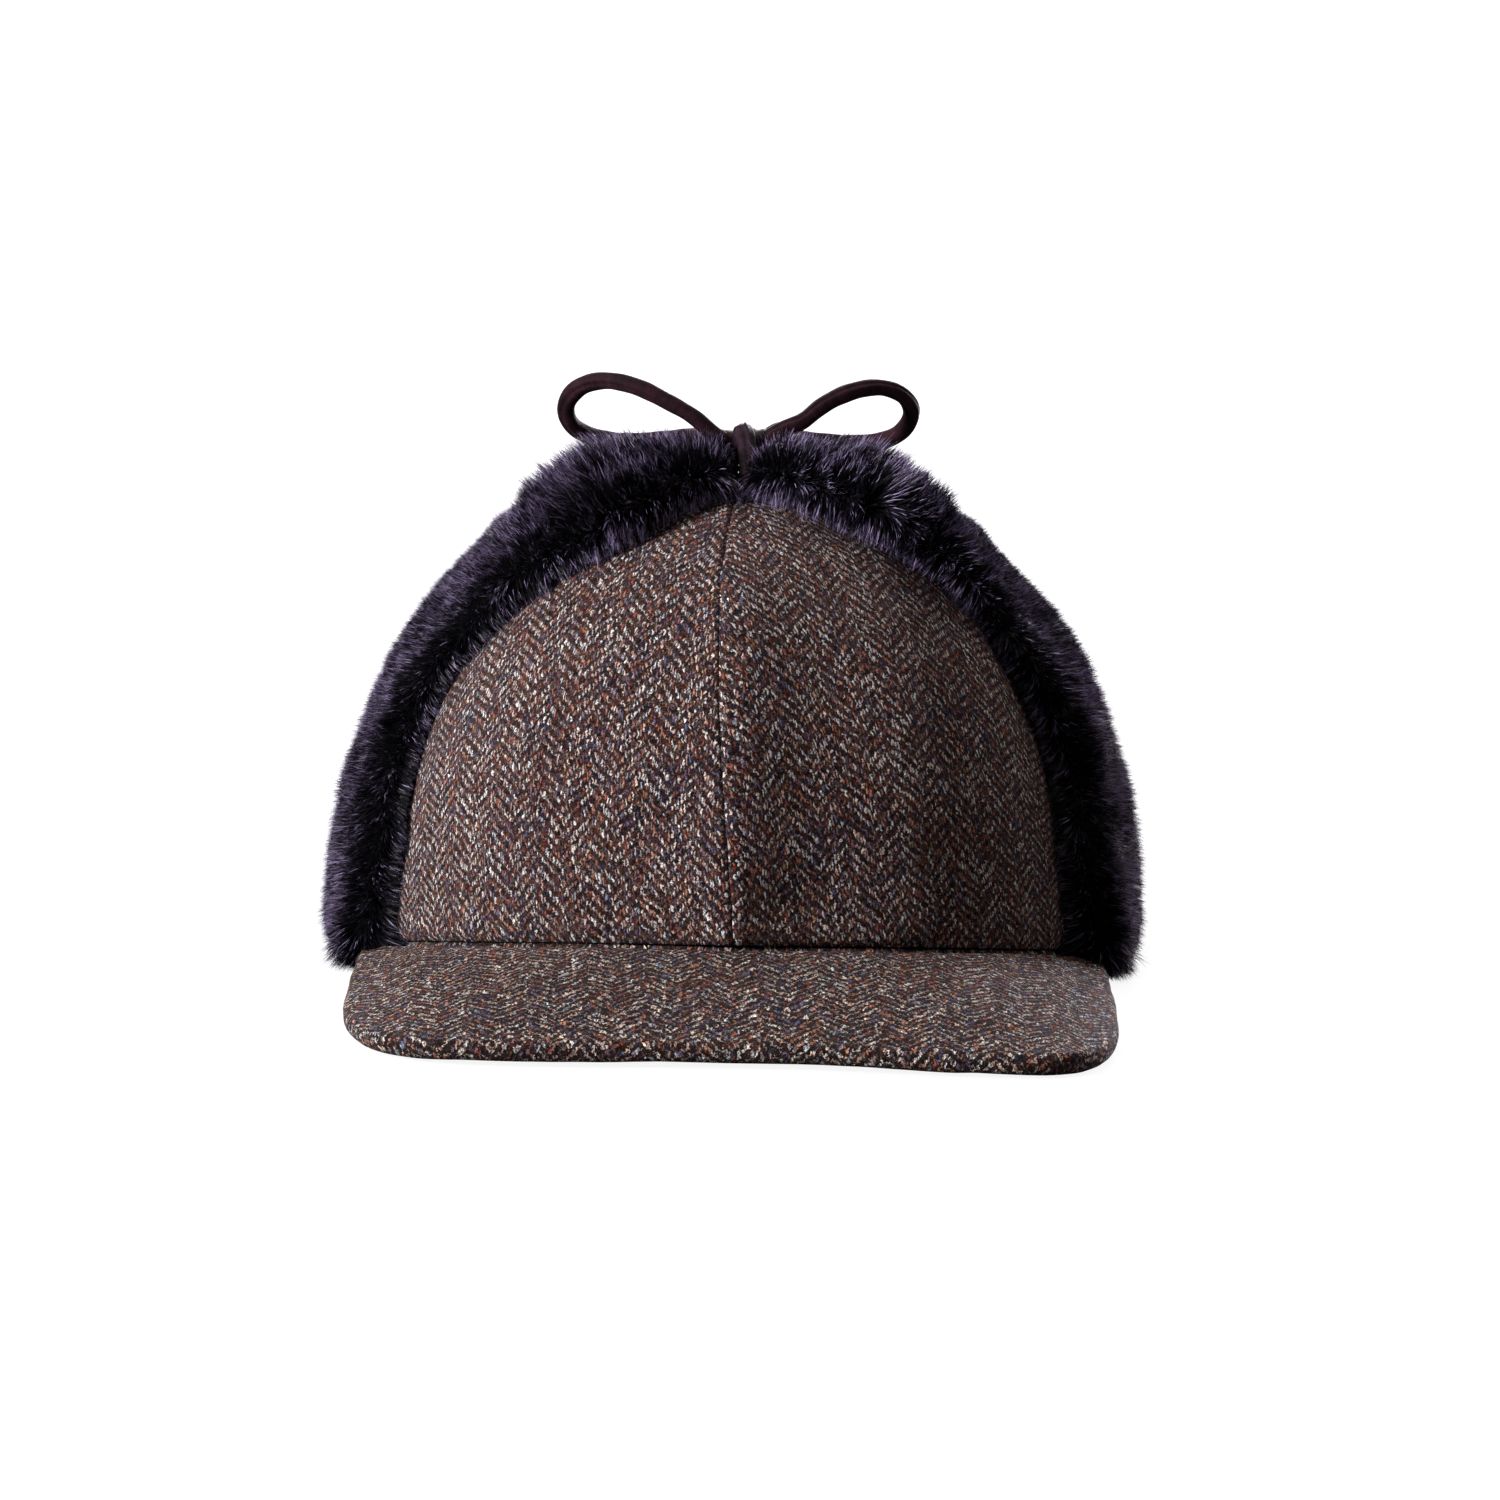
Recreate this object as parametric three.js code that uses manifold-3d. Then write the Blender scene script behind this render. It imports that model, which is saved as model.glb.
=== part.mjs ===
// Earflap baseball cap in herringbone tweed, with its earflaps tied up over the crown.
// Millimetres, +Z up. The cap faces -Y and stands on z = 0, so left is the wearer's left, at +X.
// The crown is six cloth panels, the peak is one cloth-covered plate, and three flaps, two over the
// ears and one over the neck, are folded up outside the crown with their fur outwards.
// A leather lace holds the two earflaps together on top, in a bow.
import * as THREE from "three";
import { mergeVertices } from "three/addons/utils/BufferGeometryUtils.js";
import Module from "manifold-3d";

const wasm = await Module();
wasm.setup();

// ---- Driving dimensions -------------------------------------------------------------------------

// The crown's outer surface is a dome, measured from the middle of the head.
const crown = {
  halfWidth: 85,
  frontReach: 98.5,
  backReach: 103,
  height: 113.5,
  wall: 2,
  planPower: 2.35, // 2 is an ellipse seen from above, and more is squarer
  sidePower: 2.05, // the same for the rise from the rim to the top
  frontPower: 2.35,
  backPower: 2.2,
  panelBulge: 1.4, // how far a panel's middle stands out from its two seams
  keel: 5.5, // how far the front seam stands out as a ridge
  keelFade: 0.15, // angle over which the ridge fades
  seamGap: 0.35,
  tipRadius: 0.8, // the panels' tips stop this far from the very top
};
const rim = {
  height: 4.5, // at the sides and the back
  riseFrom: 27, // further forward than this the rim climbs towards the peak's seam
  slope: 0.194,
  softness: 8,
};
const seamAngles = [0, 73, 124, 180]; // degrees from the front, on either side

const peak = {
  halfWidth: 89.5,
  widestAt: 86, // distance in front of the head's middle
  reach: 157,
  endAt: 50, // where the peak stops at each temple
  endInset: 0.5, // how much narrower it is there
  thickness: 5.2,
  edge: 2.6, // what is left of the thickness at its rounded outer edge
  frontTop: 6.6, // height of the top face at the middle of the front edge
  // The peak is a little bent: its left front corner is lower and further forward.
  left: { cornerPower: 3.95, sideTop: 5.2, forward: 24 },
  right: { cornerPower: 4.1, sideTop: 5.8, forward: 9 },
};

// A flap is a sheet of cloth next to the crown, with fur outside it.
const flap = {
  air: 0.7, // between the crown and the cloth
  cloth: 1.9,
  clothInset: 2.2, // from the flap's front and back edges
  furAir: 0.7, // between the cloth and the fur
  pileAtMeeting: 3.4, // where the two earflaps meet over the crown
  meetingFlat: 5, // half the width of the valley there
  meetingRise: 5, // width over which the pile rises again beside it
  pressed: 8, // how far the lace presses the pile down behind the bow
  meetingGap: 0.25, // each earflap's distance from the middle
  backAtRim: 42,
  backAtTop: 26,
  backNarrowsFrom: 41, // degrees of arc up the crown's side
  neckTop: 50, // height of the neck flap's cloth
  neckPile: 14.2,
  jointGap: 0.35,
};
// How each earflap runs up the crown's side. arc is in degrees from level, front is the depth of the
// front edge, and pile is the thickness of cloth and fur together, from the crown out.
const earflaps = {
  right: [
    { arc: 0, front: -41, pile: 14.6 },
    { arc: 20, front: -41, pile: 14.2 },
    { arc: 40, front: -27, pile: 13.6 },
    { arc: 57, front: -36, pile: 11.4 },
    { arc: 72, front: -41, pile: 17 },
    { arc: 90, front: -23, pile: 12.8 },
  ],
  left: [
    { arc: 0, front: -40.5, pile: 14.6 },
    { arc: 20, front: -44, pile: 15.2 },
    { arc: 42, front: -32, pile: 15.2 },
    { arc: 56, front: -28, pile: 11.2 },
    { arc: 72, front: -31, pile: 16 },
    { arc: 90, front: -23, pile: 12.8 },
  ],
};
const lock = { rows: 3, depth: 1.8, fringe: 1.3 }; // a lock of fur is 3 rows long and 2 columns wide

const lace = { radius: 2.15, sides: 10 };
const knot = { x: 1.6, y: -10, z: 123.1, halfLength: 3.4, halfDepth: 4.6, halfHeight: 3.1 };

// ---- Materials ----------------------------------------------------------------------------------

const tweed = new THREE.MeshStandardMaterial({ color: 0x5b4b48, roughness: 0.95, metalness: 0 });
const fur = new THREE.MeshStandardMaterial({ color: 0x26222c, roughness: 0.8, metalness: 0 });
const leather = new THREE.MeshStandardMaterial({ color: 0x2a1d22, roughness: 0.6, metalness: 0 });

// ---- Numbers and meshes -------------------------------------------------------------------------

const radians = THREE.MathUtils.degToRad;
const mix = THREE.MathUtils.lerp;
const smooth = THREE.MathUtils.smoothstep;
const steps = (count) => Array.from({ length: count + 1 }, (_, i) => i / count);

// The value between low and high where rising(value) passes 0.
function crossing(rising, low, high) {
  for (let i = 0; i < 44; i++) {
    const middle = (low + high) / 2;
    if (rising(middle) > 0) high = middle;
    else low = middle;
  }
  return (low + high) / 2;
}

// A closed solid between an outer and an inner grid of points, joined round their borders.
function gridSolid(outer, inner) {
  const rows = outer.length;
  const columns = outer[0].length;
  const points = [...outer.flat(), ...inner.flat()];
  const at = (side, row, column) => (side * rows + row) * columns + column;
  const faces = [];
  const quad = (a, b, c, d) => faces.push(a, b, c, a, c, d);
  for (let r = 0; r + 1 < rows; r++) {
    for (let c = 0; c + 1 < columns; c++) {
      quad(at(0, r, c), at(0, r, c + 1), at(0, r + 1, c + 1), at(0, r + 1, c));
      quad(at(1, r, c), at(1, r + 1, c), at(1, r + 1, c + 1), at(1, r, c + 1));
    }
    quad(at(0, r, 0), at(0, r + 1, 0), at(1, r + 1, 0), at(1, r, 0));
    const last = columns - 1;
    quad(at(0, r + 1, last), at(0, r, last), at(1, r, last), at(1, r + 1, last));
  }
  for (let c = 0; c + 1 < columns; c++) {
    quad(at(0, 0, c + 1), at(0, 0, c), at(1, 0, c), at(1, 0, c + 1));
    const last = rows - 1;
    quad(at(0, last, c), at(0, last, c + 1), at(1, last, c + 1), at(1, last, c));
  }
  const geometry = new THREE.BufferGeometry().setFromPoints(points).setIndex(faces);
  return facingOut(geometry);
}

// The geometry with its faces turned round if they enclose a negative volume.
function facingOut(geometry) {
  const point = geometry.getAttribute("position");
  const index = geometry.index.array;
  const [a, b, c] = [new THREE.Vector3(), new THREE.Vector3(), new THREE.Vector3()];
  let volume = 0;
  for (let i = 0; i < index.length; i += 3) {
    [a, b, c].forEach((corner, k) => corner.fromBufferAttribute(point, index[i + k]));
    volume += a.dot(b.cross(c));
  }
  if (volume < 0) {
    for (let i = 0; i < index.length; i += 3) [index[i], index[i + 1]] = [index[i + 1], index[i]];
  }
  return geometry;
}

function toManifold(geometry) {
  const bare = geometry.clone();
  bare.deleteAttribute("normal");
  bare.deleteAttribute("uv");
  const merged = mergeVertices(bare, 1e-3);
  return new wasm.Manifold(
    new wasm.Mesh({
      numProp: 3,
      vertProperties: merged.getAttribute("position").array,
      triVerts: new Uint32Array(merged.index.array),
    }),
  );
}

function fromManifold(solid) {
  const mesh = solid.getMesh();
  return new THREE.BufferGeometry()
    .setAttribute("position", new THREE.BufferAttribute(mesh.vertProperties, 3))
    .setIndex(new THREE.BufferAttribute(mesh.triVerts, 1));
}

// ---- The crown's surface ------------------------------------------------------------------------

// Angles round the crown are measured from the front, growing towards +X.
function panelShare(angle) {
  const away = THREE.MathUtils.radToDeg(Math.acos(Math.cos(angle)));
  const panel = seamAngles.findIndex((seam, i) => away <= seamAngles[i + 1] || i === 2);
  return (away - seamAngles[panel]) / (seamAngles[panel + 1] - seamAngles[panel]);
}

function planRadius(angle) {
  const reach = Math.cos(angle) > 0 ? crown.frontReach : crown.backReach;
  const power = crown.planPower;
  const across = Math.abs(Math.sin(angle) / crown.halfWidth) ** power;
  const along = Math.abs(Math.cos(angle) / reach) ** power;
  const bulge = crown.panelBulge * (1 - Math.abs(2 * panelShare(angle) - 1) ** 3);
  const keel = crown.keel * Math.exp(-Math.acos(Math.cos(angle)) / crown.keelFade);
  return (across + along) ** (-1 / power) + bulge + keel;
}

function risePower(angle) {
  const facing = Math.cos(angle) > 0 ? crown.frontPower : crown.backPower;
  return mix(crown.sidePower, facing, Math.cos(angle) ** 2);
}

// Below 0 inside the dome, and above 0 outside it.
function crownField(x, y, z) {
  const angle = Math.atan2(x, -y);
  const power = risePower(angle);
  const around = Math.hypot(x, y) / planRadius(angle);
  return around ** power + (Math.max(z, 0) / crown.height) ** power - 1;
}

function crownNormal(point) {
  const step = 0.05;
  const slope = (axis) => {
    const ahead = point.clone();
    const behind = point.clone();
    ahead[axis] += step;
    behind[axis] -= step;
    return crownField(...ahead.toArray()) - crownField(...behind.toArray());
  };
  return new THREE.Vector3(slope("x"), slope("y"), slope("z")).normalize();
}

const offCrown = (point, height) => point.clone().addScaledVector(crownNormal(point), height);

function rimHeight(y) {
  const forward = -y - rim.riseFrom;
  return rim.height + (rim.slope * (forward + Math.hypot(forward, rim.softness))) / 2;
}

const rimHeightAt = (angle) => rimHeight(-planRadius(angle) * Math.cos(angle));

function crownPoint(angle, height) {
  const power = risePower(angle);
  const radius = planRadius(angle) * (1 - (height / crown.height) ** power) ** (1 / power);
  return new THREE.Vector3(radius * Math.sin(angle), -radius * Math.cos(angle), height);
}

// The point of the crown at depth y, in the direction arc from level, as seen along Y. side is 1 or -1.
function crownPointAcross(side, arc, y) {
  const field = (reach) => crownField(reach * Math.cos(arc), y, reach * Math.sin(arc));
  const reach = crossing(field, 0, 2 * crown.height);
  return new THREE.Vector3(side * reach * Math.cos(arc), y, reach * Math.sin(arc));
}

// ---- Crown panels -------------------------------------------------------------------------------

// The point a panel's wall below its surface. At a seam the way in lies in the seam's own plane.
function underPanel(point, atSeam) {
  const way = crownNormal(point);
  if (atSeam) {
    const sideways = new THREE.Vector3(-point.y, point.x, 0).normalize();
    way.addScaledVector(sideways, -way.dot(sideways)).normalize();
  }
  return point.clone().addScaledVector(way, -crown.wall);
}

function crownPanel(from, to) {
  const topHeight = (angle) => {
    const power = risePower(angle);
    const share = (crown.tipRadius / planRadius(angle)) ** power;
    return crown.height * (1 - share) ** (1 / power);
  };
  // Heights are spread as the sine of a rising angle is, so that rows are even along the dome.
  const grid = (inner) =>
    steps(9).map((up) =>
      steps(7).map((round) => {
        const middle = mix(from, to, 0.5);
        const low = rimHeightAt(mix(from, to, round));
        const high = topHeight(middle);
        const lift = Math.sin(mix(Math.asin(low / high), Math.PI / 2, up));
        const radius = Math.hypot(...crownPoint(middle, high * lift).setZ(0).toArray());
        const inset = Math.asin(crown.seamGap / 2 / radius);
        const angle = mix(from + inset, to - inset, round);
        const height = Math.min(high * lift, topHeight(angle));
        const point = crownPoint(angle, height);
        return inner ? underPanel(point, round === 0 || round === 1) : point;
      }),
    );
  return gridSolid(grid(false), grid(true));
}

// ---- Peak ---------------------------------------------------------------------------------------

// The outer edge seen from above. along runs from -1 at the right temple to 1 at the left one.
function peakOutline(along) {
  const shape = along < 0 ? peak.right : peak.left;
  const cornerShare = 0.86; // the rest of the outline runs back beside the crown
  const turn = Math.min(Math.abs(along) / cornerShare, 1) * (Math.PI / 2);
  const back = Math.max(Math.abs(along) - cornerShare, 0) / (1 - cornerShare);
  const power = 2 / shape.cornerPower;
  const x = peak.halfWidth * Math.sin(turn) ** power - peak.endInset * back ** 2;
  const forward = shape.forward * Math.sin(turn);
  const front = (peak.reach - peak.widestAt + forward) * Math.max(Math.cos(turn), 0) ** power;
  const y = -peak.widestAt - front + (peak.widestAt - peak.endAt) * back;
  return new THREE.Vector2(Math.sign(along) * x, y);
}

function peakSolid() {
  const templeAngle = crossing(
    (angle) => peak.endAt - planRadius(angle) * Math.cos(angle),
    0,
    Math.PI / 2,
  );
  const roundFrom = 0.955; // the outer edge is rounded over the last of the width
  const outwards = [0, 0.18, 0.36, 0.54, 0.72, 0.86, roundFrom, 0.987, 1];
  const grid = (side) =>
    outwards.map((out) =>
      steps(32).map((share) => {
        const along = Math.sign(share - 0.5) * Math.abs(2 * share - 1) ** 0.92;
        const angle = along * templeAngle;
        const seam = offCrown(crownPoint(angle, rimHeightAt(angle)), -crown.wall);
        const outline = peakOutline(along);
        const x = mix(seam.x, outline.x, out);
        const y = mix(seam.y, outline.y, out);
        const sideTop = (along < 0 ? peak.right : peak.left).sideTop;
        const edgeTop = mix(peak.frontTop, sideTop, smooth(Math.abs(along), 0, 0.6));
        const top = mix(rimHeightAt(angle) - 0.3, edgeTop, out * mix(0.85, 1, out));
        const past = Math.max(out - roundFrom, 0) / (1 - roundFrom);
        const half = Math.max(Math.sqrt(1 - past ** 2) * peak.thickness, peak.edge) / 2;
        return new THREE.Vector3(x, y, top - peak.thickness / 2 + side * half);
      }),
    );
  return gridSolid(grid(1), grid(-1));
}

// ---- Flaps --------------------------------------------------------------------------------------

const clothTop = flap.air + flap.cloth;
const furBack = clothTop + flap.furAir;
const lowArc = Math.asin(rim.height / crown.halfWidth) + radians(0.25);
const topArc = Math.PI / 2;
const lastArc = Math.acos(flap.meetingGap / crown.height);

// A value from an earflap's table. key is front or pile, and side is 1 for the left flap.
function flapValue(side, arc, key) {
  const rows = side > 0 ? earflaps.left : earflaps.right;
  const degrees = THREE.MathUtils.radToDeg(arc);
  const next = Math.max(1, rows.findIndex((row) => row.arc >= degrees));
  const [low, high] = [rows[next - 1], rows[next]];
  return mix(low[key], high[key], smooth(degrees, low.arc, high.arc));
}

const backEdge = (arc) =>
  mix(flap.backAtRim, flap.backAtTop, smooth(arc, radians(flap.backNarrowsFrom), topArc));

// The fur's outer surface is made of locks that lap over each other like shingles, each thickest at
// its tip. Rows and columns are counted on the grid of the surface.
function lockRelief(row, column) {
  const toTip = (row % lock.rows) / (lock.rows - 1);
  const middle = (column + Math.floor(row / lock.rows)) % 2;
  return lock.depth * (toTip * mix(0.35, 1, middle) - 0.42);
}

// How far the tips of the locks reach past a free edge.
const fringe = (row) => lock.fringe * ((2 * (row % lock.rows)) / (lock.rows - 1) - 1);

// Across a free edge, from the crown round to the full pile. past is the distance beyond the cloth's
// edge, share is the part of the full pile, and under says where the fur's back face runs.
const freeEdge = [
  { past: 4, share: 0.16, underPast: 3.7, under: flap.air },
  { past: 5.8, share: 0.42, underPast: 2.3, under: flap.air },
  { past: 5.4, share: 0.7, underPast: flap.furAir, under: flap.air },
  { past: 3, share: 0.92, underPast: flap.furAir, under: furBack },
  { past: -3, share: 1, underPast: -3, under: furBack },
];
// The same columns where two flaps are sewn side by side.
const joinedEdge = [
  { past: 0, share: 1, underPast: 0, under: furBack },
  { past: -1.2, share: 1, underPast: -1.2, under: furBack },
  { past: -2.4, share: 1, underPast: -2.4, under: furBack },
  { past: -3.6, share: 1, underPast: -3.6, under: furBack },
  { past: -4.8, share: 1, underPast: -4.8, under: furBack },
];

// A row of an edge table, part of the way from joined to free.
function edgeRow(index, free) {
  const [a, b] = [joinedEdge[index], freeEdge[index]];
  const keys = ["past", "share", "underPast", "under"];
  return Object.fromEntries(keys.map((key) => [key, mix(a[key], b[key], free)]));
}

// At the bottom the fur turns in under the rim: it is flat where the cap rests, and its lip lies under
// the cloth and the crown. out is the outer face's distance from the crown, in is the lip's.
const hem = [
  { out: -2.4, z: 2.9, in: -2.4, inZ: rim.height - 0.6 },
  { out: -0.6, z: 0, in: 0.1, inZ: rim.height - 0.45 },
  { out: 11, z: 0, in: furBack, inZ: rim.height - 0.3 },
  { out: 13.8, z: 1.7, in: furBack, inZ: 6 },
  { out: 14.7, z: 5.8, in: furBack, inZ: 9 },
];

// One row of hem points, which stand off the crown level with the table.
function hemPoint(base, row, share, under, pile) {
  const out = crownNormal(base).setZ(0).normalize();
  const scale = (share * pile - furBack) / (pile - furBack);
  const outer = row.out > furBack ? furBack + (row.out - furBack) * scale : row.out;
  const inner = row.in === furBack ? under : row.in;
  return {
    outer: base.clone().addScaledVector(out, outer).setZ(row.z),
    inner: base.clone().addScaledVector(out, inner).setZ(row.inZ),
  };
}

function earflapPile(side, arc, y) {
  const fromMiddle = crown.height * (topArc - arc) - flap.meetingFlat;
  const rise = THREE.MathUtils.clamp(fromMiddle / flap.meetingRise, 0, 1);
  const behindBow = smooth(arc, radians(60), radians(70)) * smooth(y, -15, -3);
  const full = flapValue(side, arc, "pile") - flap.pressed * behindBow;
  return mix(flap.pileAtMeeting, full, Math.sqrt(1 - (1 - rise) ** 2));
}

// The points across an earflap at one height: the front edge's, the middle's, and the back edge's.
function earflapColumns(side, arc) {
  const free = smooth(arc, radians(42), radians(50)); // above the neck flap the back edge is free
  const frontY = flapValue(side, arc, "front");
  const backY = backEdge(arc);
  const column = (edge, sign, row, reach) => ({
    y: edge - sign * row.past,
    underY: edge - sign * row.underPast,
    share: row.share,
    under: row.under,
    fringe: row.past > 0 ? -sign * reach : 0,
  });
  return [
    ...freeEdge.map((_, i) => column(frontY, 1, edgeRow(i, 1), 1)),
    ...steps(8).slice(1, -1).map((share) => {
      const y = mix(frontY + 3, backY - 3, share);
      return { y, underY: y, share: 1, under: furBack, fringe: 0 };
    }),
    ...freeEdge.map((_, i) => column(backY, -1, edgeRow(i, free), free)).reverse(),
  ];
}

function earflapFur(side) {
  const outer = [];
  const inner = [];
  const hemColumns = earflapColumns(side, lowArc);
  for (const row of hem) {
    const pile = flapValue(side, lowArc, "pile");
    const point = (y, { share, under }) =>
      hemPoint(crownPointAcross(side, lowArc, y), row, share, under, pile);
    outer.push(hemColumns.map((column) => point(column.y, column).outer));
    inner.push(hemColumns.map((column) => point(column.underY, column).inner));
  }
  const firstArc = radians(9);
  const valley = [flap.meetingFlat + 3.5, flap.meetingFlat].map((x) => topArc - x / crown.height);
  const upwards = [...steps(22).map((up) => mix(firstArc, valley[0], up)), valley[1], lastArc];
  upwards.forEach((arc, row) => {
    const columns = earflapColumns(side, arc);
    outer.push(
      columns.map(({ y, share, fringe: reach }, column) => {
        const beside = Math.min(1, (topArc - arc) / 0.2);
        const pile = earflapPile(side, arc, y) + lockRelief(row, column) * beside;
        const edgeY = y + reach * fringe(row);
        return offCrown(crownPointAcross(side, arc, edgeY), Math.max(share * pile, 1.6));
      }),
    );
    inner.push(
      columns.map(({ underY, under }) => offCrown(crownPointAcross(side, arc, underY), under)),
    );
  });
  return gridSolid(outer, inner);
}

function earflapCloth(side) {
  const firstArc = lowArc + radians(0.4);
  const grid = (height) =>
    steps(15).map((up) => {
      const arc = mix(firstArc, lastArc, up);
      const front = flapValue(side, arc, "front") + flap.clothInset;
      const back = backEdge(arc) - flap.clothInset;
      return steps(6).map((share) =>
        offCrown(crownPointAcross(side, arc, mix(front, back, share)), height),
      );
    });
  return gridSolid(grid(clothTop), grid(flap.air));
}

// The angle round the crown where depth is y, at a height, on the side of +X.
function angleAt(y, height) {
  return crossing((angle) => crownPoint(angle, height).y - y, Math.PI / 2, Math.PI);
}

// The neck flap between its two joints, at a height. share runs from 0 to 1.
function neckBase(share, height) {
  const joint = angleAt(flap.backAtRim + flap.jointGap, height);
  return crownPoint(mix(joint, 2 * Math.PI - joint, share), height);
}

function neckFur() {
  const columns = steps(26);
  const pile = flap.neckPile;
  const outer = [];
  const inner = [];
  for (const row of hem) {
    const point = (share) => hemPoint(neckBase(share, rim.height), row, 1, furBack, pile);
    outer.push(columns.map((share) => point(share).outer));
    inner.push(columns.map((share) => point(share).inner));
  }
  const above = [
    ...steps(5).map((up) => ({ z: mix(13, flap.neckTop - 5, up), share: 1, under: furBack })),
    ...freeEdge.slice(0, -1).reverse().map((row) => ({
      z: flap.neckTop + row.past,
      underZ: flap.neckTop + row.underPast,
      share: row.share,
      under: row.under,
      fringe: row.past > 0 ? 1 : 0,
    })),
  ];
  above.forEach((place, row) => {
    outer.push(
      columns.map((share, column) => {
        const beside = Math.min(1, 8 * share, 8 * (1 - share));
        const relief = lockRelief(row, column) * beside;
        const edge = (place.fringe ?? 0) * fringe(column);
        return offCrown(neckBase(share, place.z + edge), place.share * (pile + relief));
      }),
    );
    inner.push(
      columns.map((share) => offCrown(neckBase(share, place.underZ ?? place.z), place.under)),
    );
  });
  return gridSolid(outer, inner);
}

function neckCloth() {
  const grid = (height) =>
    steps(4).map((up) =>
      steps(16).map((share) => {
        const z = mix(rim.height + 0.6, flap.neckTop, up);
        return offCrown(neckBase(share, z), height);
      }),
    );
  return gridSolid(grid(clothTop), grid(flap.air));
}

// ---- The lace and its bow -----------------------------------------------------------------------

function laceAlong(points, stepCount) {
  const curve = new THREE.CatmullRomCurve3(points.map((p) => new THREE.Vector3(...p)));
  const corners = steps(lace.sides).slice(0, -1).map((share) => {
    const turn = 2 * Math.PI * share;
    return new THREE.Vector2(lace.radius * Math.cos(turn), lace.radius * Math.sin(turn));
  });
  return new THREE.ExtrudeGeometry(new THREE.Shape(corners), {
    extrudePath: curve,
    steps: stepCount,
    bevelEnabled: false,
  });
}

// Each loop leaves the knot in front, stands up to its side and comes back behind the fur.
const rightLoopRoute = [
  [-3.1, -12.2, 123.5],
  [-5, -12.4, 124.3],
  [-7.8, -12.5, 127],
  [-11.5, -12, 129.9],
  [-17.3, -11, 132.9],
  [-24.2, -9, 136],
  [-32.8, -5, 137.1],
  [-38.9, -2, 134.9],
  [-42.1, 1, 130],
  [-40.6, 4, 124.9],
  [-34.8, 8, 121.4],
  [-27.9, 11, 120.1],
  [-19.3, 11, 120.7],
  [-11, 6, 122.3],
  [-6.4, -4.8, 124.2],
  [-3.1, -8, 123.7],
];
const leftLoopRoute = [
  [6.3, -12.2, 123.9],
  [8.2, -12.3, 125.4],
  [11.2, -12.4, 127.3],
  [15, -12, 128.3],
  [18.1, -11, 131.2],
  [23.2, -9, 134.2],
  [28.8, -6, 135.9],
  [34.2, -3, 136.1],
  [39.6, 0, 133.8],
  [41.9, 3, 129.5],
  [39.8, 6, 124.5],
  [35, 9, 121.5],
  [27.2, 11, 120.3],
  [18.5, 10, 121.1],
  [12, 4, 122.7],
  [9.4, -5, 125.5],
  [6.3, -8, 123.9],
];
// The two ends lie in the valley between the earflaps, and then on the back of the crown. over is
// the lace's height over the crown.
const rightEndRoute = [
  { x: -0.8, y: -4.9, over: 8.9 },
  { x: -1.7, y: 2, over: 7.6 },
  { x: -2.4, y: 9, over: 7.5 },
  { x: -2.5, y: 17, over: 7.5 },
  { x: -2.8, y: 24, over: 7.4 },
  { x: -4.2, y: 31.5, over: 6.6 },
  { x: -6.8, y: 39, over: 2.7 },
  { x: -10.6, y: 47, over: 2.5 },
];
const leftEndRoute = [
  { x: 4, y: -4.9, over: 8.9 },
  { x: 3.2, y: 2, over: 7.6 },
  { x: 2.5, y: 9, over: 7.5 },
  { x: 2.4, y: 17, over: 7.5 },
  { x: 2.4, y: 24, over: 7.4 },
  { x: 2.9, y: 31.5, over: 6.6 },
  { x: 4.4, y: 39, over: 2.7 },
  { x: 7, y: 49, over: 2.5 },
];

function overCrown({ x, y, over }) {
  const height = crossing((z) => crownField(x, y, z), 0, 2 * crown.height);
  return offCrown(new THREE.Vector3(x, y, height), over).toArray();
}

// The knot: the lace's strands bundled together, a turn of lace round them, and the strand that runs
// down in front from the meeting of the two earflaps.
function knotSolid() {
  const bundle = new THREE.CylinderGeometry(1, 1, 2 * knot.halfLength, 16).rotateZ(Math.PI / 2);
  bundle.scale(1, knot.halfHeight, knot.halfDepth);
  bundle.translate(knot.x, knot.y, knot.z);
  const turn = new THREE.TorusGeometry(1, 0.5, 8, 20).rotateY(Math.PI / 2);
  turn.scale(lace.radius / 0.5, knot.halfHeight - 0.1, knot.halfDepth - 0.9);
  turn.rotateX(0.1).rotateZ(-0.12);
  turn.translate(knot.x, knot.y, knot.z);
  const strand = laceAlong(
    [
      [1.7, -11.4, 125.2],
      [1.8, -15.4, 124.5],
      [2.1, -18.8, 122.1],
      [2.3, -22.3, 119.3],
      [2.5, -26, 116.7],
    ],
    7,
  );
  return [turn, strand]
    .map(toManifold)
    .reduce((joined, piece) => joined.add(piece), toManifold(bundle));
}

// ---- The assembly -------------------------------------------------------------------------------

const cap = new THREE.Group();

function addPiece(name, geometry, material) {
  const mesh = new THREE.Mesh(geometry, material);
  mesh.name = name;
  cap.add(mesh);
}

const panelNames = ["front", "side", "back"];
for (const [sideName, side] of [["left", 1], ["right", -1]]) {
  panelNames.forEach((panelName, i) => {
    const from = side * radians(seamAngles[i]);
    const to = side * radians(seamAngles[i + 1]);
    const panel = crownPanel(Math.min(from, to), Math.max(from, to));
    addPiece(`crown_${panelName}_${sideName}`, panel, tweed);
  });
  addPiece(`earflap_cloth_${sideName}`, earflapCloth(side), tweed);
  addPiece(`earflap_fur_${sideName}`, earflapFur(side), fur);
}
addPiece("peak", peakSolid(), tweed);
addPiece("neck_flap_cloth", neckCloth(), tweed);
addPiece("neck_flap_fur", neckFur(), fur);
addPiece("tie_loop_right", laceAlong(rightLoopRoute, 22), leather);
addPiece("tie_loop_left", laceAlong(leftLoopRoute, 22), leather);
addPiece("tie_end_right", laceAlong(rightEndRoute.map(overCrown), 11), leather);
addPiece("tie_end_left", laceAlong(leftEndRoute.map(overCrown), 11), leather);
addPiece("tie_knot", fromManifold(knotSolid()), leather);

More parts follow.
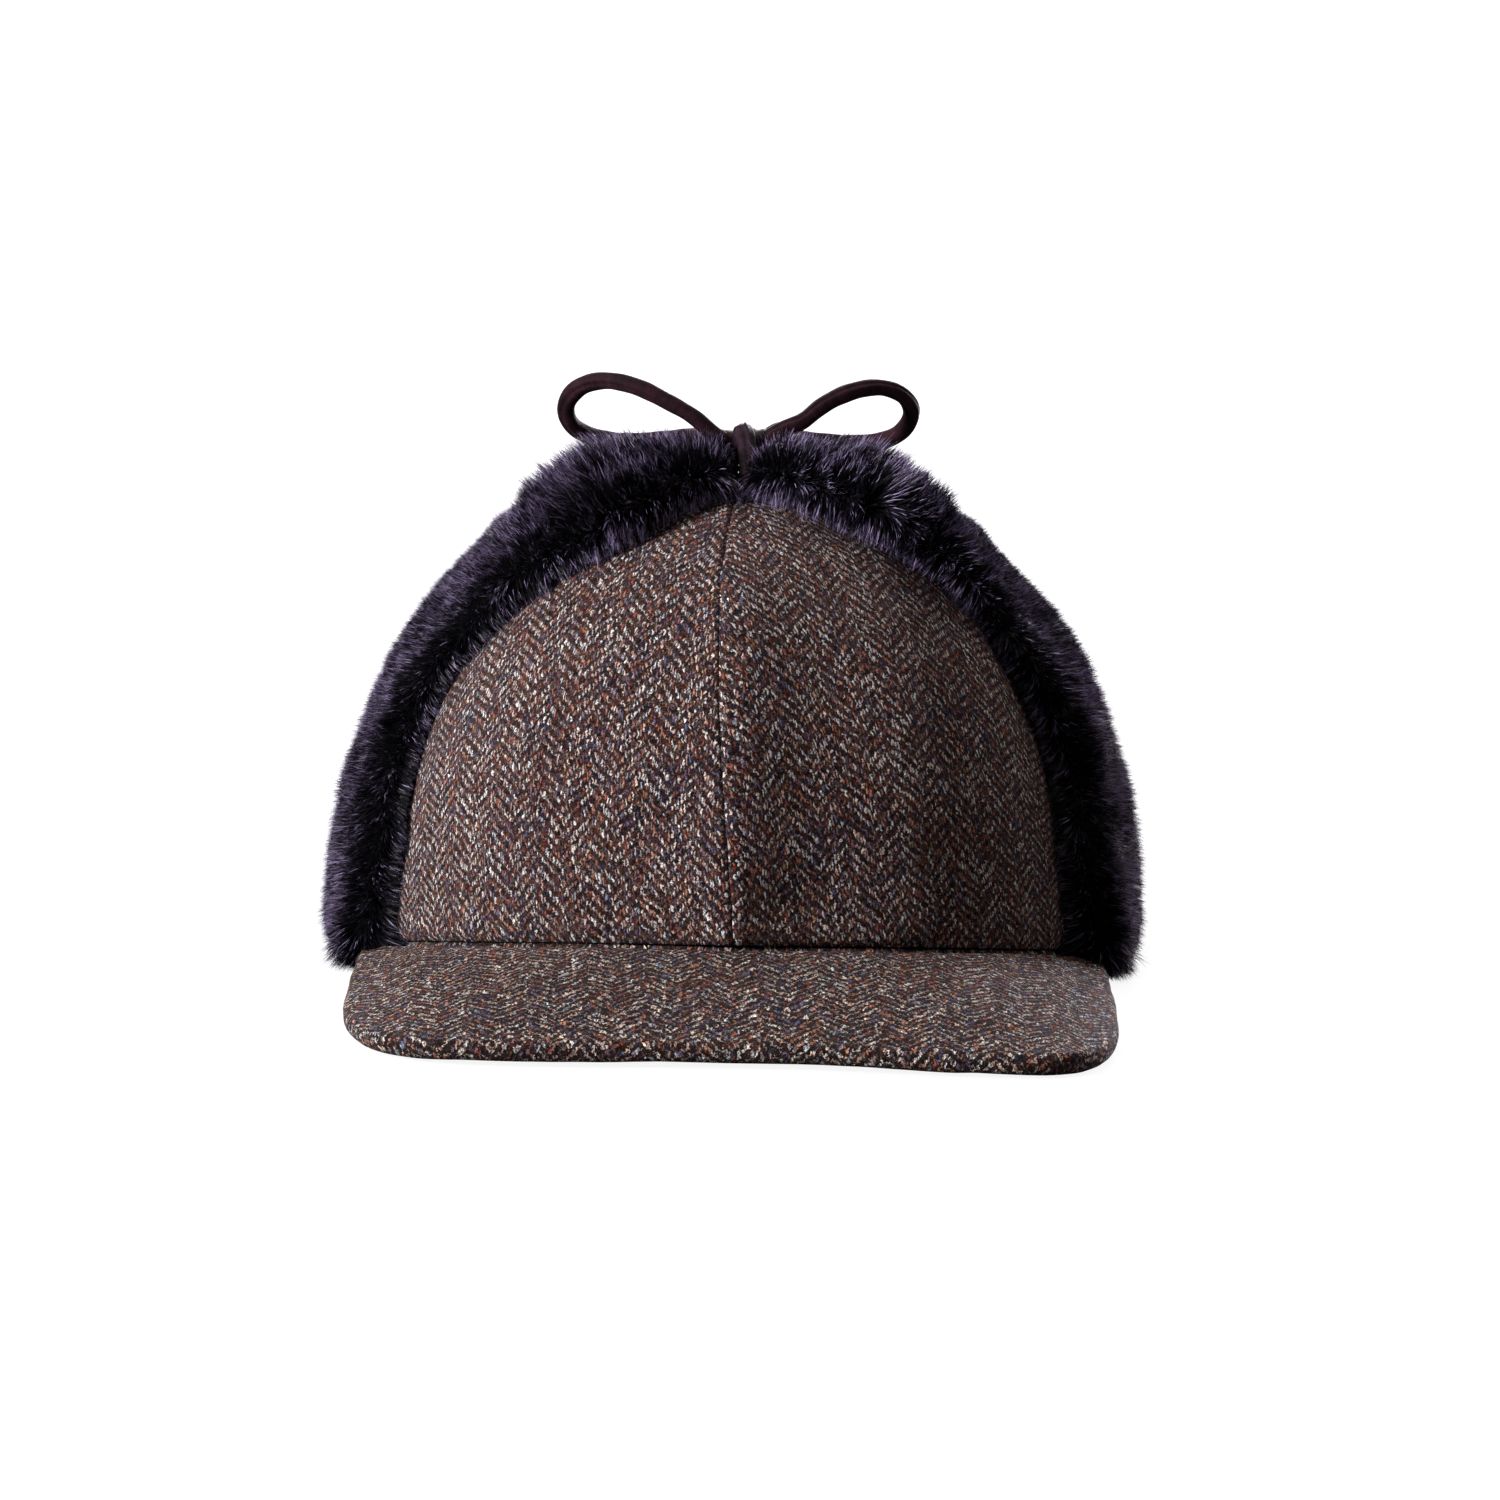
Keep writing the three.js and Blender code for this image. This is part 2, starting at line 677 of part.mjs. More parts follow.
// The origin is under the middle of the cap.
const bounds = new THREE.Box3().setFromObject(cap);
const middle = bounds.getCenter(new THREE.Vector3());
cap.children.forEach((mesh) => mesh.geometry.translate(-middle.x, -middle.y, -bounds.min.z));

export default cap;
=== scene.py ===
import itertools
import math

import bpy
import numpy as np
from mathutils import Matrix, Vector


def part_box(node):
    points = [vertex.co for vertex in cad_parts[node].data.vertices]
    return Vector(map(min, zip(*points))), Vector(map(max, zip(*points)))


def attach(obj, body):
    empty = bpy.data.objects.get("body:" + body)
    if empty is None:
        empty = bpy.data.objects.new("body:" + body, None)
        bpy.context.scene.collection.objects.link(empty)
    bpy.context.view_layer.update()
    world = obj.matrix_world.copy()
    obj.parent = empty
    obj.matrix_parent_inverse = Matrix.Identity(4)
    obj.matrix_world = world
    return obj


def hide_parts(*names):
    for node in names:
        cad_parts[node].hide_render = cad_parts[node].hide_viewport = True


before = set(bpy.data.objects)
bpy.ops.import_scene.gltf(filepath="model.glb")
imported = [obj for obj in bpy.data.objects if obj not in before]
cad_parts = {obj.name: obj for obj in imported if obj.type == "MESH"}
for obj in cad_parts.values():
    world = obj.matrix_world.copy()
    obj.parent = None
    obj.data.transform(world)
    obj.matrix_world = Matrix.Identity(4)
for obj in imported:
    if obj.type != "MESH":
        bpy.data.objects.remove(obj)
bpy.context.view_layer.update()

PEAK_REACH = 163.2  # from the middle of the head to the front of the solid peak
HEAD = np.array([0.0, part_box("peak")[0].y * 1000 + PEAK_REACH, 0.0])
SIDES = (("left", 1), ("right", -1))

# ---- Numbers ----


def in_metres(points):
    return (np.asarray(points, float) + HEAD) / 1000


def mix(a, b, share):
    return a + (b - a) * share


def smooth(x, low, high):
    t = np.clip((x - low) / (high - low), 0, 1)
    return t * t * (3 - 2 * t)


def unit(v):
    return v / np.maximum(np.linalg.norm(v, axis=-1, keepdims=True), 1e-9)


def bell(x, width):
    return np.exp(-((x / width) ** 2))


def signed_power(x, power):
    return np.sign(x) * np.abs(x) ** power


def crossing(rising, low, high):
    """Where rising(value) passes 0 between low and high."""
    for _ in range(36):
        middle = (low + high) / 2
        above = rising(middle) > 0
        high = np.where(above, middle, high)
        low = np.where(above, low, middle)
    return (low + high) / 2


def chance(cells, seed):
    """A repeatable random number from 0 to 1 for each row of whole numbers."""
    n = np.full(cells.shape[:-1], seed * 2654435761 % 2**32, np.uint64)
    for axis, prime in enumerate((73856093, 19349663, 83492791)[: cells.shape[-1]]):
        n = n ^ ((cells[..., axis].astype(np.int64) + 100000).astype(np.uint64) * prime)
    n = n & 0xFFFFFFFF
    for shift, factor in ((16, 0x7FEB352D), (15, 0x846CA68B), (16, 1)):
        n = ((n ^ (n >> shift)) * factor) & 0xFFFFFFFF
    return n.astype(float) / 2**32


def noise(points, size, seed):
    """Smooth noise from -1 to 1, whose bumps are about size across."""
    q = np.asarray(points, float) / size
    cell = np.floor(q)
    f = q - cell
    f = f * f * (3 - 2 * f)
    total = 0
    for corner in itertools.product((0, 1), repeat=q.shape[-1]):
        weight = np.prod(np.where(corner, f, 1 - f), axis=-1)
        total = total + weight * chance(cell + corner, seed)
    return 2 * total - 1


def nearest_seed(places, spacing, seed):
    """The nearest of the points scattered about one to a cell: the way to it, and its cell."""
    cell = np.floor(places / spacing)
    best = np.full(len(places), np.inf)
    way, owner = np.zeros_like(places), np.zeros_like(places)
    for step in itertools.product((-1, 0, 1), repeat=2):
        other = cell + step
        jitter = np.stack([chance(other, seed), chance(other, seed + 7)], -1)
        offset = (other + 0.1 + 0.8 * jitter) * spacing - places
        far = np.linalg.norm(offset, axis=-1)
        closer = far < best
        best = np.where(closer, far, best)
        way[closer], owner[closer] = offset[closer], other[closer]
    return way, owner


def lengths_along(line):
    """How far along a line each of its points is."""
    return np.concatenate([[0], np.cumsum(np.linalg.norm(np.diff(line, axis=0), axis=1))])


def catmull_rom(points, count):
    """Points evenly spaced along a centripetal Catmull-Rom curve."""
    p = np.asarray(points, float)
    p = np.concatenate([[2 * p[0] - p[1]], p, [2 * p[-1] - p[-2]]])
    found = []
    t = np.linspace(0, 1, 40, endpoint=False)[:, None]
    for a, b, c, d in zip(p, p[1:], p[2:], p[3:]):
        ab, bc, cd = (np.sqrt(np.linalg.norm(e - s)) for s, e in ((a, b), (b, c), (c, d)))
        leave = ((b - a) / ab - (c - a) / (ab + bc) + (c - b) / bc) * bc
        arrive = ((c - b) / bc - (d - b) / (bc + cd) + (d - c) / cd) * bc
        found.append(
            b + leave * t
            + (3 * (c - b) - 2 * leave - arrive) * t**2
            + (2 * (b - c) + leave + arrive) * t**3
        )
    line = np.concatenate(found + [p[-2:-1]])
    along = lengths_along(line)
    even = np.linspace(0, along[-1], count)
    return np.stack([np.interp(even, along, line[:, k]) for k in range(3)], -1)


# ---- Camera ----

ELEVATION, ROLL = math.radians(11), math.radians(0.8)
DISTANCE = 2000.0
SENSOR, LENS = 36, 196.8
AIM = np.array([4.39, 45.854]) / DISTANCE  # it looks this far right of the middle, and above it


def new_object(name, data):
    thing = bpy.data.objects.new(name, data)
    bpy.context.scene.collection.objects.link(thing)
    return thing


def standing(right, back, place):
    """The matrix of a thing at place whose own X points right and whose own Z points back."""
    axes = np.eye(4)
    axes[:3] = np.stack([right, np.cross(back, right), back, place], -1)
    return Matrix(axes.tolist())


def make_camera():
    right = np.array([1.0, 0, 0])
    up = np.array([0, math.sin(ELEVATION), math.cos(ELEVATION)])
    back = np.cross(right, up)
    place = in_metres(DISTANCE * back)
    right, up = (
        right * math.cos(ROLL) + up * math.sin(ROLL),
        up * math.cos(ROLL) - right * math.sin(ROLL),
    )
    back = unit(back - AIM[0] * right - AIM[1] * up)
    right = unit(right - back * (right @ back))
    lens = bpy.data.cameras.new("camera")
    lens.sensor_width, lens.lens = SENSOR, LENS
    lens.clip_start, lens.clip_end = 0.05, 50
    camera = new_object("camera", lens)
    camera.matrix_world = standing(right, back, place)
    bpy.context.scene.camera = camera


make_camera()

# ---- The crown's surface ----

HALF_WIDTH, FRONT_REACH, BACK_REACH, HEIGHT, WALL = 85.0, 98.5, 103.0, 113.5, 2.0
SEAMS = np.radians([0, 73, 124, 180])  # angles from the front, on either side
PLAN_POWER = 2.35  # 2 is an ellipse seen from above, and more is squarer
SIDE_POWER, FRONT_POWER, BACK_POWER = 2.05, 2.35, 2.2  # the same for the rise to the top
PANEL_BULGE = 1.4  # how far a panel's middle stands out from its two seams
KEEL, KEEL_FADE = 5.5, 0.15  # how far the front seam stands out, and the angle over which it fades
RIM, RIM_SLOPE = 4.5, 0.194  # the rim's height at the back, and its climb to the peak's seam,
RISE_FROM, RISE_SOFTNESS = 27, 8  # which sets in softly this far forward
TIP_RADIUS = 0.8  # the panels' tips stop this far from the very top


def plan_radius(angle):
    away = np.arccos(np.clip(np.cos(angle), -1, 1))
    share = np.interp(away, SEAMS, [0, 1, 2, 3]) % 1.0
    reach = np.where(np.cos(angle) > 0, FRONT_REACH, BACK_REACH)
    across = np.abs(np.sin(angle) / HALF_WIDTH) ** PLAN_POWER
    along = np.abs(np.cos(angle) / reach) ** PLAN_POWER
    bulge = PANEL_BULGE * (1 - np.abs(2 * share - 1) ** 3)
    from_keel = np.hypot(away, 0.02) - 0.02  # with a rounded crest
    keel = KEEL * np.exp(-from_keel / KEEL_FADE)
    return (across + along) ** (-1 / PLAN_POWER) + bulge + keel


def rise_power(angle):
    facing = np.where(np.cos(angle) > 0, FRONT_POWER, BACK_POWER)
    return mix(SIDE_POWER, facing, np.cos(angle) ** 2)


def crown_field(x, y, z):
    """Below 0 inside the crown's surface, and above 0 outside it."""
    angle = np.arctan2(x, -y)
    power = rise_power(angle)
    outward = (np.hypot(x, y) / plan_radius(angle)) ** power
    return outward + (np.maximum(z, 0) / HEIGHT) ** power - 1


def crown_normal(p):
    slopes = [
        crown_field(*np.moveaxis(p + step, -1, 0)) - crown_field(*np.moveaxis(p - step, -1, 0))
        for step in 0.05 * np.eye(3)
    ]
    return unit(np.stack(slopes, -1))


def off_crown(p, height):
    return p + crown_normal(p) * np.asarray(height)[..., None]


def rim_height(angle):
    forward = plan_radius(angle) * np.cos(angle) - RISE_FROM
    return RIM + RIM_SLOPE * (forward + np.hypot(forward, RISE_SOFTNESS)) / 2


def crown_point(angle, height):
    power = rise_power(angle)
    radius = plan_radius(angle) * (1 - np.clip(height / HEIGHT, 0, 1) ** power) ** (1 / power)
    return np.stack(
        np.broadcast_arrays(radius * np.sin(angle), -radius * np.cos(angle), height), -1
    )


def crown_across(side, arc, y):
    """The point at depth y on one side's arc from level, at 0, over to the top."""
    arc, y = np.broadcast_arrays(arc, y)
    reach = crossing(lambda r: crown_field(r * np.cos(arc), y, r * np.sin(arc)), 0, 2 * HEIGHT)
    return np.stack([side * reach * np.cos(arc), y, reach * np.sin(arc)], -1)


# ---- Meshes ----


def new_piece(name, points, faces, uv, material, slot, replaces=()):
    """A mesh piece. faces is a list of arrays, each of faces with one number of corners, and uv has
    a place for each point."""
    mesh = bpy.data.meshes.new(name)
    loops = np.concatenate([group.ravel() for group in faces]).astype(np.int32)
    widths = np.repeat([group.shape[1] for group in faces], [len(group) for group in faces])
    mesh.vertices.add(len(points))
    mesh.vertices.foreach_set("co", in_metres(points).astype(np.float32).ravel())
    mesh.loops.add(len(loops))
    mesh.loops.foreach_set("vertex_index", loops)
    mesh.polygons.add(len(widths))
    mesh.polygons.foreach_set("loop_start", (np.cumsum(widths) - widths).astype(np.int32))
    mesh.polygons.foreach_set("use_smooth", np.full(len(widths), True))
    layer = mesh.uv_layers.new(name="weave")
    layer.uv.foreach_set("vector", np.asarray(uv, np.float32)[loops].ravel())
    mesh.update(calc_edges=True)
    mesh.validate()
    mesh.materials.append(material)
    piece = new_object(name, mesh)
    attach(piece, "root")
    if replaces:
        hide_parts(*replaces)
    return piece


def numbered(rows, columns):
    return np.arange(rows * columns).reshape(rows, columns)


def grid_faces(index):
    """The faces between the points of a grid, from the points' numbers."""
    corners = index[:-1, :-1], index[:-1, 1:], index[1:, 1:], index[1:, :-1]
    return np.stack(corners, -1).reshape(-1, 4)


def shell(outer, inner, uv):
    """Points, faces and uv of a closed sheet between two grids, joined round their borders."""
    index = numbered(*outer.shape[:2])
    count = index.size
    ring = np.concatenate([index[0], index[1:, -1], index[-1, -2::-1], index[-2:0:-1, 0]])
    after = np.roll(ring, -1)
    faces = np.concatenate([
        grid_faces(index), grid_faces(index)[:, ::-1] + count,
        np.stack([after, ring, ring + count, after + count], -1),
    ])
    a, b = outer[:-1, :-1], outer[1:, 1:]
    facing = np.cross(outer[:-1, 1:] - a, b - a) * (outer - inner)[:-1, :-1]
    if facing.sum() < 0:
        faces = faces[:, ::-1]
    points = np.concatenate([outer.reshape(-1, 3), inner.reshape(-1, 3)])
    return points, [faces], np.concatenate([uv.reshape(-1, 2)] * 2)


# ---- Shaders ----


class Value:
    """A number or vector in a shader, which Python's operators work on."""

    def __init__(self, tree, socket):
        self.tree, self.socket = tree, socket

    def math(self, operation, *others):
        node = self.tree.nodes.new("ShaderNodeMath")
        node.operation = operation
        feed(self.tree, node, *enumerate((self, *others)))
        return Value(self.tree, node.outputs[0])

    def __add__(self, other): return self.math("ADD", other)
    def __sub__(self, other): return self.math("SUBTRACT", other)
    def __mul__(self, other): return self.math("MULTIPLY", other)
    def __truediv__(self, other): return self.math("DIVIDE", other)
    def __pow__(self, other): return self.math("POWER", other)
    def __mod__(self, other): return self.math("FLOORED_MODULO", other)
    def __radd__(self, other): return self + other
    def __rsub__(self, other): return self * -1 + other
    def floor(self): return self.math("FLOOR")
    def less(self, other): return self.math("LESS_THAN", other)
    def abs(self): return self.math("ABSOLUTE")

    def ramp(self, *stops):
        """The colour at this place among stops of place, red, green and blue."""
        node = self.tree.nodes.new("ShaderNodeValToRGB")
        elements = node.color_ramp.elements
        while len(elements) < len(stops):
            elements.new(0.5)
        for element, (place, *colour) in zip(elements, stops):
            element.position, element.color = place, srgb(*colour)
        feed(self.tree, node, (0, self))
        return Value(self.tree, node.outputs[0])

    def between(self, low, high):
        """0 below low, 1 above high, and smooth from one to the other."""
        node = self.tree.nodes.new("ShaderNodeMapRange")
        node.interpolation_type = "SMOOTHSTEP"
        feed(self.tree, node, (0, self), (1, low), (2, high))
        return Value(self.tree, node.outputs[0])


def feed(tree, node, *pairs):
    """Links or sets inputs of a node, from pairs of (input, value)."""
    for key, value in pairs:
        if isinstance(value, Value):
            tree.links.new(value.socket, node.inputs[key])
        else:
            node.inputs[key].default_value = value
    return node


def srgb(*colour):
    """An opaque linear colour from 8-bit red, green and blue."""
    parts = (c / 255 for c in colour)
    return *(((c + 0.055) / 1.055) ** 2.4 if c > 0.04 else c / 12.92 for c in parts), 1


class Shader:
    """A material under construction, round one Principled shader."""

    def __init__(self, name, **sockets):
        self.material = bpy.data.materials.new(name)
        self.material.use_nodes = True
        self.tree = self.material.node_tree
        self.set(**sockets)

    def set(self, **sockets):
        """Links or sets inputs of the Principled shader, with _ in their names for each space."""
        pairs = ((key.replace("_", " "), value) for key, value in sockets.items())
        feed(self.tree, self.tree.nodes["Principled BSDF"], *pairs)

    def value(self, kind, *pairs, output=0, **settings):
        node = self.tree.nodes.new(kind)
        for key, value in settings.items():
            setattr(node, key, value)
        return Value(self.tree, feed(self.tree, node, *pairs).outputs[output])

    def split(self, vector):
        node = feed(self.tree, self.tree.nodes.new("ShaderNodeSeparateXYZ"), (0, vector))
        return [Value(self.tree, output) for output in node.outputs]

    def uv(self):
        return self.split(self.value("ShaderNodeUVMap", uv_map="weave"))[:2]

    def point(self, x, y, z=0.0):
        return self.value("ShaderNodeCombineXYZ", (0, x), (1, y), (2, z))

    def noise(self, place, scale=1.0, detail=2.0, roughness=0.5, output=0):
        pairs = ("Vector", place), ("Scale", scale), ("Detail", detail), ("Roughness", roughness)
        return self.value("ShaderNodeTexNoise", *pairs, output=output)

    def chances(self, x, y, seed):
        """Three random numbers for each pair of whole numbers."""
        pair = "Vector", self.point(x, y, seed)
        colour = self.value("ShaderNodeTexWhiteNoise", pair, output=1, noise_dimensions="3D")
        return self.split(colour)

    def mix(self, share, a, b, blend="MIX"):
        pairs = ((0, share), (6, a), (7, b))
        return self.value("ShaderNodeMix", *pairs, output=2, data_type="RGBA", blend_type=blend)

    def tint(self, colour, factor):
        return self.mix(1.0, colour, factor, blend="MULTIPLY")

    def bump(self, height, distance):
        """Bumps on the surface. distance is in millimetres for a height of 1."""
        pairs = (("Height", height), ("Distance", distance / 1000), ("Strength", 1.0))
        self.set(Normal=self.value("ShaderNodeBump", *pairs))


END, PICK = 0.74, 0.68  # widths of a warp end and of a weft pick
STRIPE = 9  # ends from one turn of the twill to the next


def dyed(hue):
    """The dyes of the wool: slate, plum, rust, tan and back to slate."""
    return hue.ramp(
        (0.0, 62, 60, 90), (0.16, 82, 74, 98), (0.3, 98, 74, 92), (0.42, 92, 58, 58),
        (0.52, 154, 70, 48), (0.6, 112, 78, 80), (0.7, 160, 98, 68), (0.8, 134, 108, 84),
        (0.9, 118, 102, 114), (1.0, 70, 64, 90),
    )


def tweed_material(
    name, cover, reach, uneven, shared, dark, light, tinge, hollow, contrast, bright, lift
):
    """Herringbone tweed in a 2/2 twill: each end floats over two picks, and the twill turns round
    from one stripe to the next. The yarns are a blend of fibres, so colours change along them.
    An end fills cover of its width, its floats look reach long, and shared ends are alike. uneven
    is how far the picks waver. dark is the brightness of the weft, its own dye with painted shade
    where it lies below the floats, lift that of the warp's dyes, and bright that of it all. light
    is the colour of pale fibres, tinge the drift of the dyes to rust or slate, hollow the share of
    the cloth in patches of painted shade that stand for hollows, and contrast the shading by the
    fibres."""
    s = Shader(
        name, Roughness=0.95, Sheen_Weight=0.06, Sheen_Roughness=0.5,
        Sheen_Tint=(0.85, 0.8, 0.8, 1), Specular_IOR_Level=0.1,
    )
    u, v = s.uv()
    flat = s.point(u, v)
    # slow and quick noises push the yarns aside
    for scale, aside, up in ((0.12, 1.6, 0.9), (0.9, 1.3, 1.0), (2.4, 0.6, 0.5)):
        push = s.split(s.noise(flat, scale, 1.0, output=1))
        u = u + (push[0] - 0.5) * aside
        v = v + (push[1] - 0.5) * uneven * up

    # where each end lies over the picks, as dashes with frayed edges
    end, pick = u / END, v / PICK
    warp, weft = end.floor(), pick.floor()
    place = warp % (2 * STRIPE)
    turned = place.less(STRIPE - 0.5)
    cycle = pick + turned * place + (1 - turned) * (2 * STRIPE + 1 - place) + 2
    number = (cycle / 4).floor()
    along = (cycle % 4 - 2) / 1.5  # from -1 to 1 along the end's float
    own = s.chances(warp, number, 3.0)
    across = (end - warp - 0.5 + (own[0] - 0.5) * 0.2 + along * 0.12) / (own[1] * 0.14 + cover)
    along = (along + (own[1] - 0.5) * 0.3) / (own[2] * 0.6 + reach)
    dash = (across * across) ** 1.6 + along * along
    fibre = s.noise(s.point(u * 5.0, v * 1.6))
    cross_fibre = s.noise(s.point(u * 1.6, v * 5.0))
    on_warp = 1 - (dash + (fibre - 0.5) * 1.4).between(0.5, 1.35)

    # each yarn is dyed in the colours of its patch of cloth, and of its own fibres
    broad = s.noise(flat, 0.03, 1.0)
    patch = s.noise(flat, 0.13, 3.0, roughness=0.6)
    spot = s.noise(flat, 0.55)
    fleck = s.noise(s.point(u * 1.6, v * 0.7), roughness=0.6)
    cross_fleck = s.noise(s.point(u * 0.7, v * 1.7), roughness=0.6)
    hue = (patch - 0.5) * 1.2 + (spot - 0.5) * 0.8 + (broad - 0.5) * 0.6 + 0.5
    tone = s.chances((end / shared).floor(), number, 29.0)
    pale = tone[0] * 0.8 + (fleck - 0.5) * 1.5 + (spot - 0.5) * 0.5 + 0.11
    warp_colour = s.tint(dyed(hue + (tone[1] - 0.5) * 0.8), (lift, lift, lift, 1))
    warp_colour = s.mix(pale.between(0.25, 0.9) * 0.85, warp_colour, srgb(*light))
    # the weft is darker: its own dye, and painted shade where it lies below the warp's floats
    tone = s.chances(weft, (end / 2).floor(), 5.0)
    deep = (tone[0] * 0.5 + (cross_fleck - 0.5) * 1.6 + 0.25).between(0.1, 0.9) * dark + 0.05
    weft_colour = dyed(hue + (tone[1] - 0.5) * 0.7 + (cross_fleck - 0.5) * 0.5)
    yarns = s.mix(on_warp, s.tint(weft_colour, s.point(deep, deep, deep)), warp_colour)

    # round yarns, shaded by their fibres, with painted shade in the gaps between them and in
    # noise patches that stand for hollows
    pick_across = (pick - weft - 0.5) * 2
    height = on_warp * (1.05 - dash * 0.3) + (1 - on_warp) * (0.5 - pick_across * pick_across * 0.3)
    height = height + (fibre - 0.5) * 0.4 * on_warp + (cross_fibre - 0.5) * 0.4
    fluff = s.noise(s.point(u, v, 4.0), 2.0)
    shade = (fibre * on_warp + cross_fibre * (1 - on_warp)) * 1.8 + fluff * 1.5 - 0.67
    shade = height.between(0.0, 0.95) * ((shade - 0.98) * contrast + 0.98) * bright
    painted_pit_shade = s.noise(s.point(u * 1.4, v * 2.2, 12.0)).between(hollow, hollow + 0.16)
    shade = shade * (painted_pit_shade * 0.92 + 0.08)
    drift = (s.noise(s.point(u * 0.8, v, 21.0)) - 0.5) * tinge
    yarns = s.tint(yarns, s.point(1 + drift, 1 - drift * 0.25, 1 - drift * 1.1))
    # the painted shade is not only darker but redder
    yarns = s.tint(yarns, s.point(shade, shade ** 1.2, shade ** 1.18))

    # loose fibres lie over the weave wherever a slow noise passes through its middle value
    for scale, seed, width, share, colour in (
        (0.6, 3.1, 0.008, 0.6, (190, 178, 170)), (1.1, 8.7, 0.02, 0.45, (170, 150, 140)),
        (1.3, 15.2, 0.02, 0.5, (132, 70, 46)),
    ):
        field = s.noise(s.point(u, v, seed), scale, 1.5)
        strand = 1 - (field - 0.5).abs().between(0.0, width)
        gate = s.noise(s.point(u, v, seed + 5), 0.6, 1.0).between(0.42, 0.6)
        yarns = s.mix(strand * gate * share, yarns, srgb(*colour))
    s.set(Base_Color=yarns)
    s.bump(height + fluff * 0.4, 0.85)
    return s.material


def fur_material(name):
    """Hair: black at the root, lilac grey at the tip. The first coordinate of the weave map runs
    from root to tip, and the second is the hair's paleness, with painted light and shade in it."""
    s = Shader(
        name, Roughness=0.42, Sheen_Weight=0.2, Sheen_Roughness=0.3,
        Sheen_Tint=(0.72, 0.66, 0.85, 1), Specular_IOR_Level=0.25,
    )
    along, paleness = s.uv()
    s.set(Base_Color=(along + (paleness - 0.5) * 0.5).ramp(
        (0.0, 2, 2, 4), (0.66, 4, 3, 7), (0.84, 12, 10, 19), (0.95, 48, 42, 64),
        (1.0, 168, 150, 192),
    ))
    return s.material


def undercoat_material(name):
    """The matt black depth between the hairs: the roots' own black, and painted shade of the deep
    pile.
    """
    s = Shader(name, Roughness=0.9, Specular_IOR_Level=0.05)
    place = s.point(*s.uv())
    fine, broad = s.noise(place, 2.2, 3.0, roughness=0.7), s.noise(place, 0.25)
    colour = (fine * 0.7 + broad * 0.5).ramp((0.3, 2, 1, 3), (0.62, 5, 4, 8), (0.9, 11, 9, 15))
    s.set(Base_Color=colour)
    s.bump(fine, 1.2)
    return s.material


def leather_material(name, rough, specular, rubbed):
    """Soft leather with a fine grain. The weave map runs along the lace, in millimetres, and round
    it. rough is its least roughness, and rubbed its colour where it is rubbed."""
    s = Shader(name, Sheen_Weight=0.03, Specular_IOR_Level=specular)
    along, around = s.uv()
    place = s.point(along, around)
    grain, cloud = s.noise(place, 2.6, 3.0, roughness=0.65), s.noise(place, 0.16)
    creases = s.noise(s.point(along, around * 0.25), 1.1)
    colour = (grain * 0.35 + cloud * 0.45 + creases * 0.25).ramp(
        (0.3, 12, 4, 8), (0.5, 30, 13, 20), (0.7, *rubbed)
    )
    s.set(Base_Color=colour, Roughness=grain * 0.25 + cloud * 0.3 + rough)
    s.bump(grain * 0.6 + creases * 0.5, 0.22)
    return s.material


TWEED = tweed_material(
    "tweed", cover=0.29, reach=0.46, uneven=2.0, shared=1, dark=0.75, light=(232, 225, 223),
    tinge=0.9, hollow=0.34, contrast=1.35, bright=1.25, lift=1.3,
)
# the peak's copy: brighter as painted light, with more painted shade in its weft and hollows
PEAK_TWEED_LIT_AND_SHADED = tweed_material(
    "peak_tweed_lit_and_shaded", cover=0.5, reach=0.26, uneven=3.4, shared=2, dark=0.3, light=(226, 212, 204),
    tinge=1.6, hollow=0.38, contrast=2.0, bright=1.55, lift=1.4,
)
FUR = fur_material("fur")
UNDERCOAT = undercoat_material("undercoat")
LEATHER = leather_material("leather", 0.34, 0.07, (60, 31, 40))
TIGHT_LEATHER = leather_material("tight_leather", 0.3, 0.1, (66, 40, 66))  # shiny where it is tight

# ---- The lace and its bow ----

LACE = 2.15  # its radius
CAP = 0.5  # how far its cut ends bulge
# A loop's route: across, depth, and height.
LOOPS = {
    "tie_loop_right": [
        (-3.1, -12.2, 123.5), (-5, -12.4, 124.3), (-7.8, -12.5, 127), (-11.5, -12, 129.9),
        (-17.3, -11, 132.9), (-24.2, -9, 136), (-32.8, -5, 137.1), (-38.9, -2, 134.9),
        (-42.1, 1, 130), (-40.6, 4, 124.9), (-34.8, 8, 121.4), (-27.9, 11, 120.1),
        (-19.3, 11, 120.7), (-11, 6, 122.3), (-6.4, -4.8, 124.2), (-3.1, -8, 123.7),
    ],
    "tie_loop_left": [
        (6.3, -12.2, 123.9), (8.2, -12.3, 125.4), (11.2, -12.4, 127.3), (15, -12, 128.3),
        (18.1, -11, 131.2), (23.2, -9, 134.2), (28.8, -6, 135.9), (34.2, -3, 136.1),
        (39.6, 0, 133.8), (41.9, 3, 129.5), (39.8, 6, 124.5), (35, 9, 121.5),
        (27.2, 11, 120.3), (18.5, 10, 121.1), (12, 4, 122.7), (9.4, -5, 125.5),
        (6.3, -8, 123.9),
    ],
}
# An end's route over the crown: across, depth, and height over the crown.
ENDS = {
    "tie_end_right": [
        (-0.8, -4.9, 8.9), (-1.7, 2, 7.6), (-2.4, 9, 7.5), (-2.5, 17, 7.5),
        (-2.8, 24, 7.4), (-4.2, 31.5, 6.6), (-6.8, 39, 2.7), (-10.6, 47, 2.5),
    ],
    "tie_end_left": [
        (4, -4.9, 8.9), (3.2, 2, 7.6), (2.5, 9, 7.5), (2.4, 17, 7.5),
        (2.4, 24, 7.4), (2.9, 31.5, 6.6), (4.4, 39, 2.7), (7, 49, 2.5),
    ],
}
KNOT = np.array([1.6, -10.0, 123.1])  # its middle
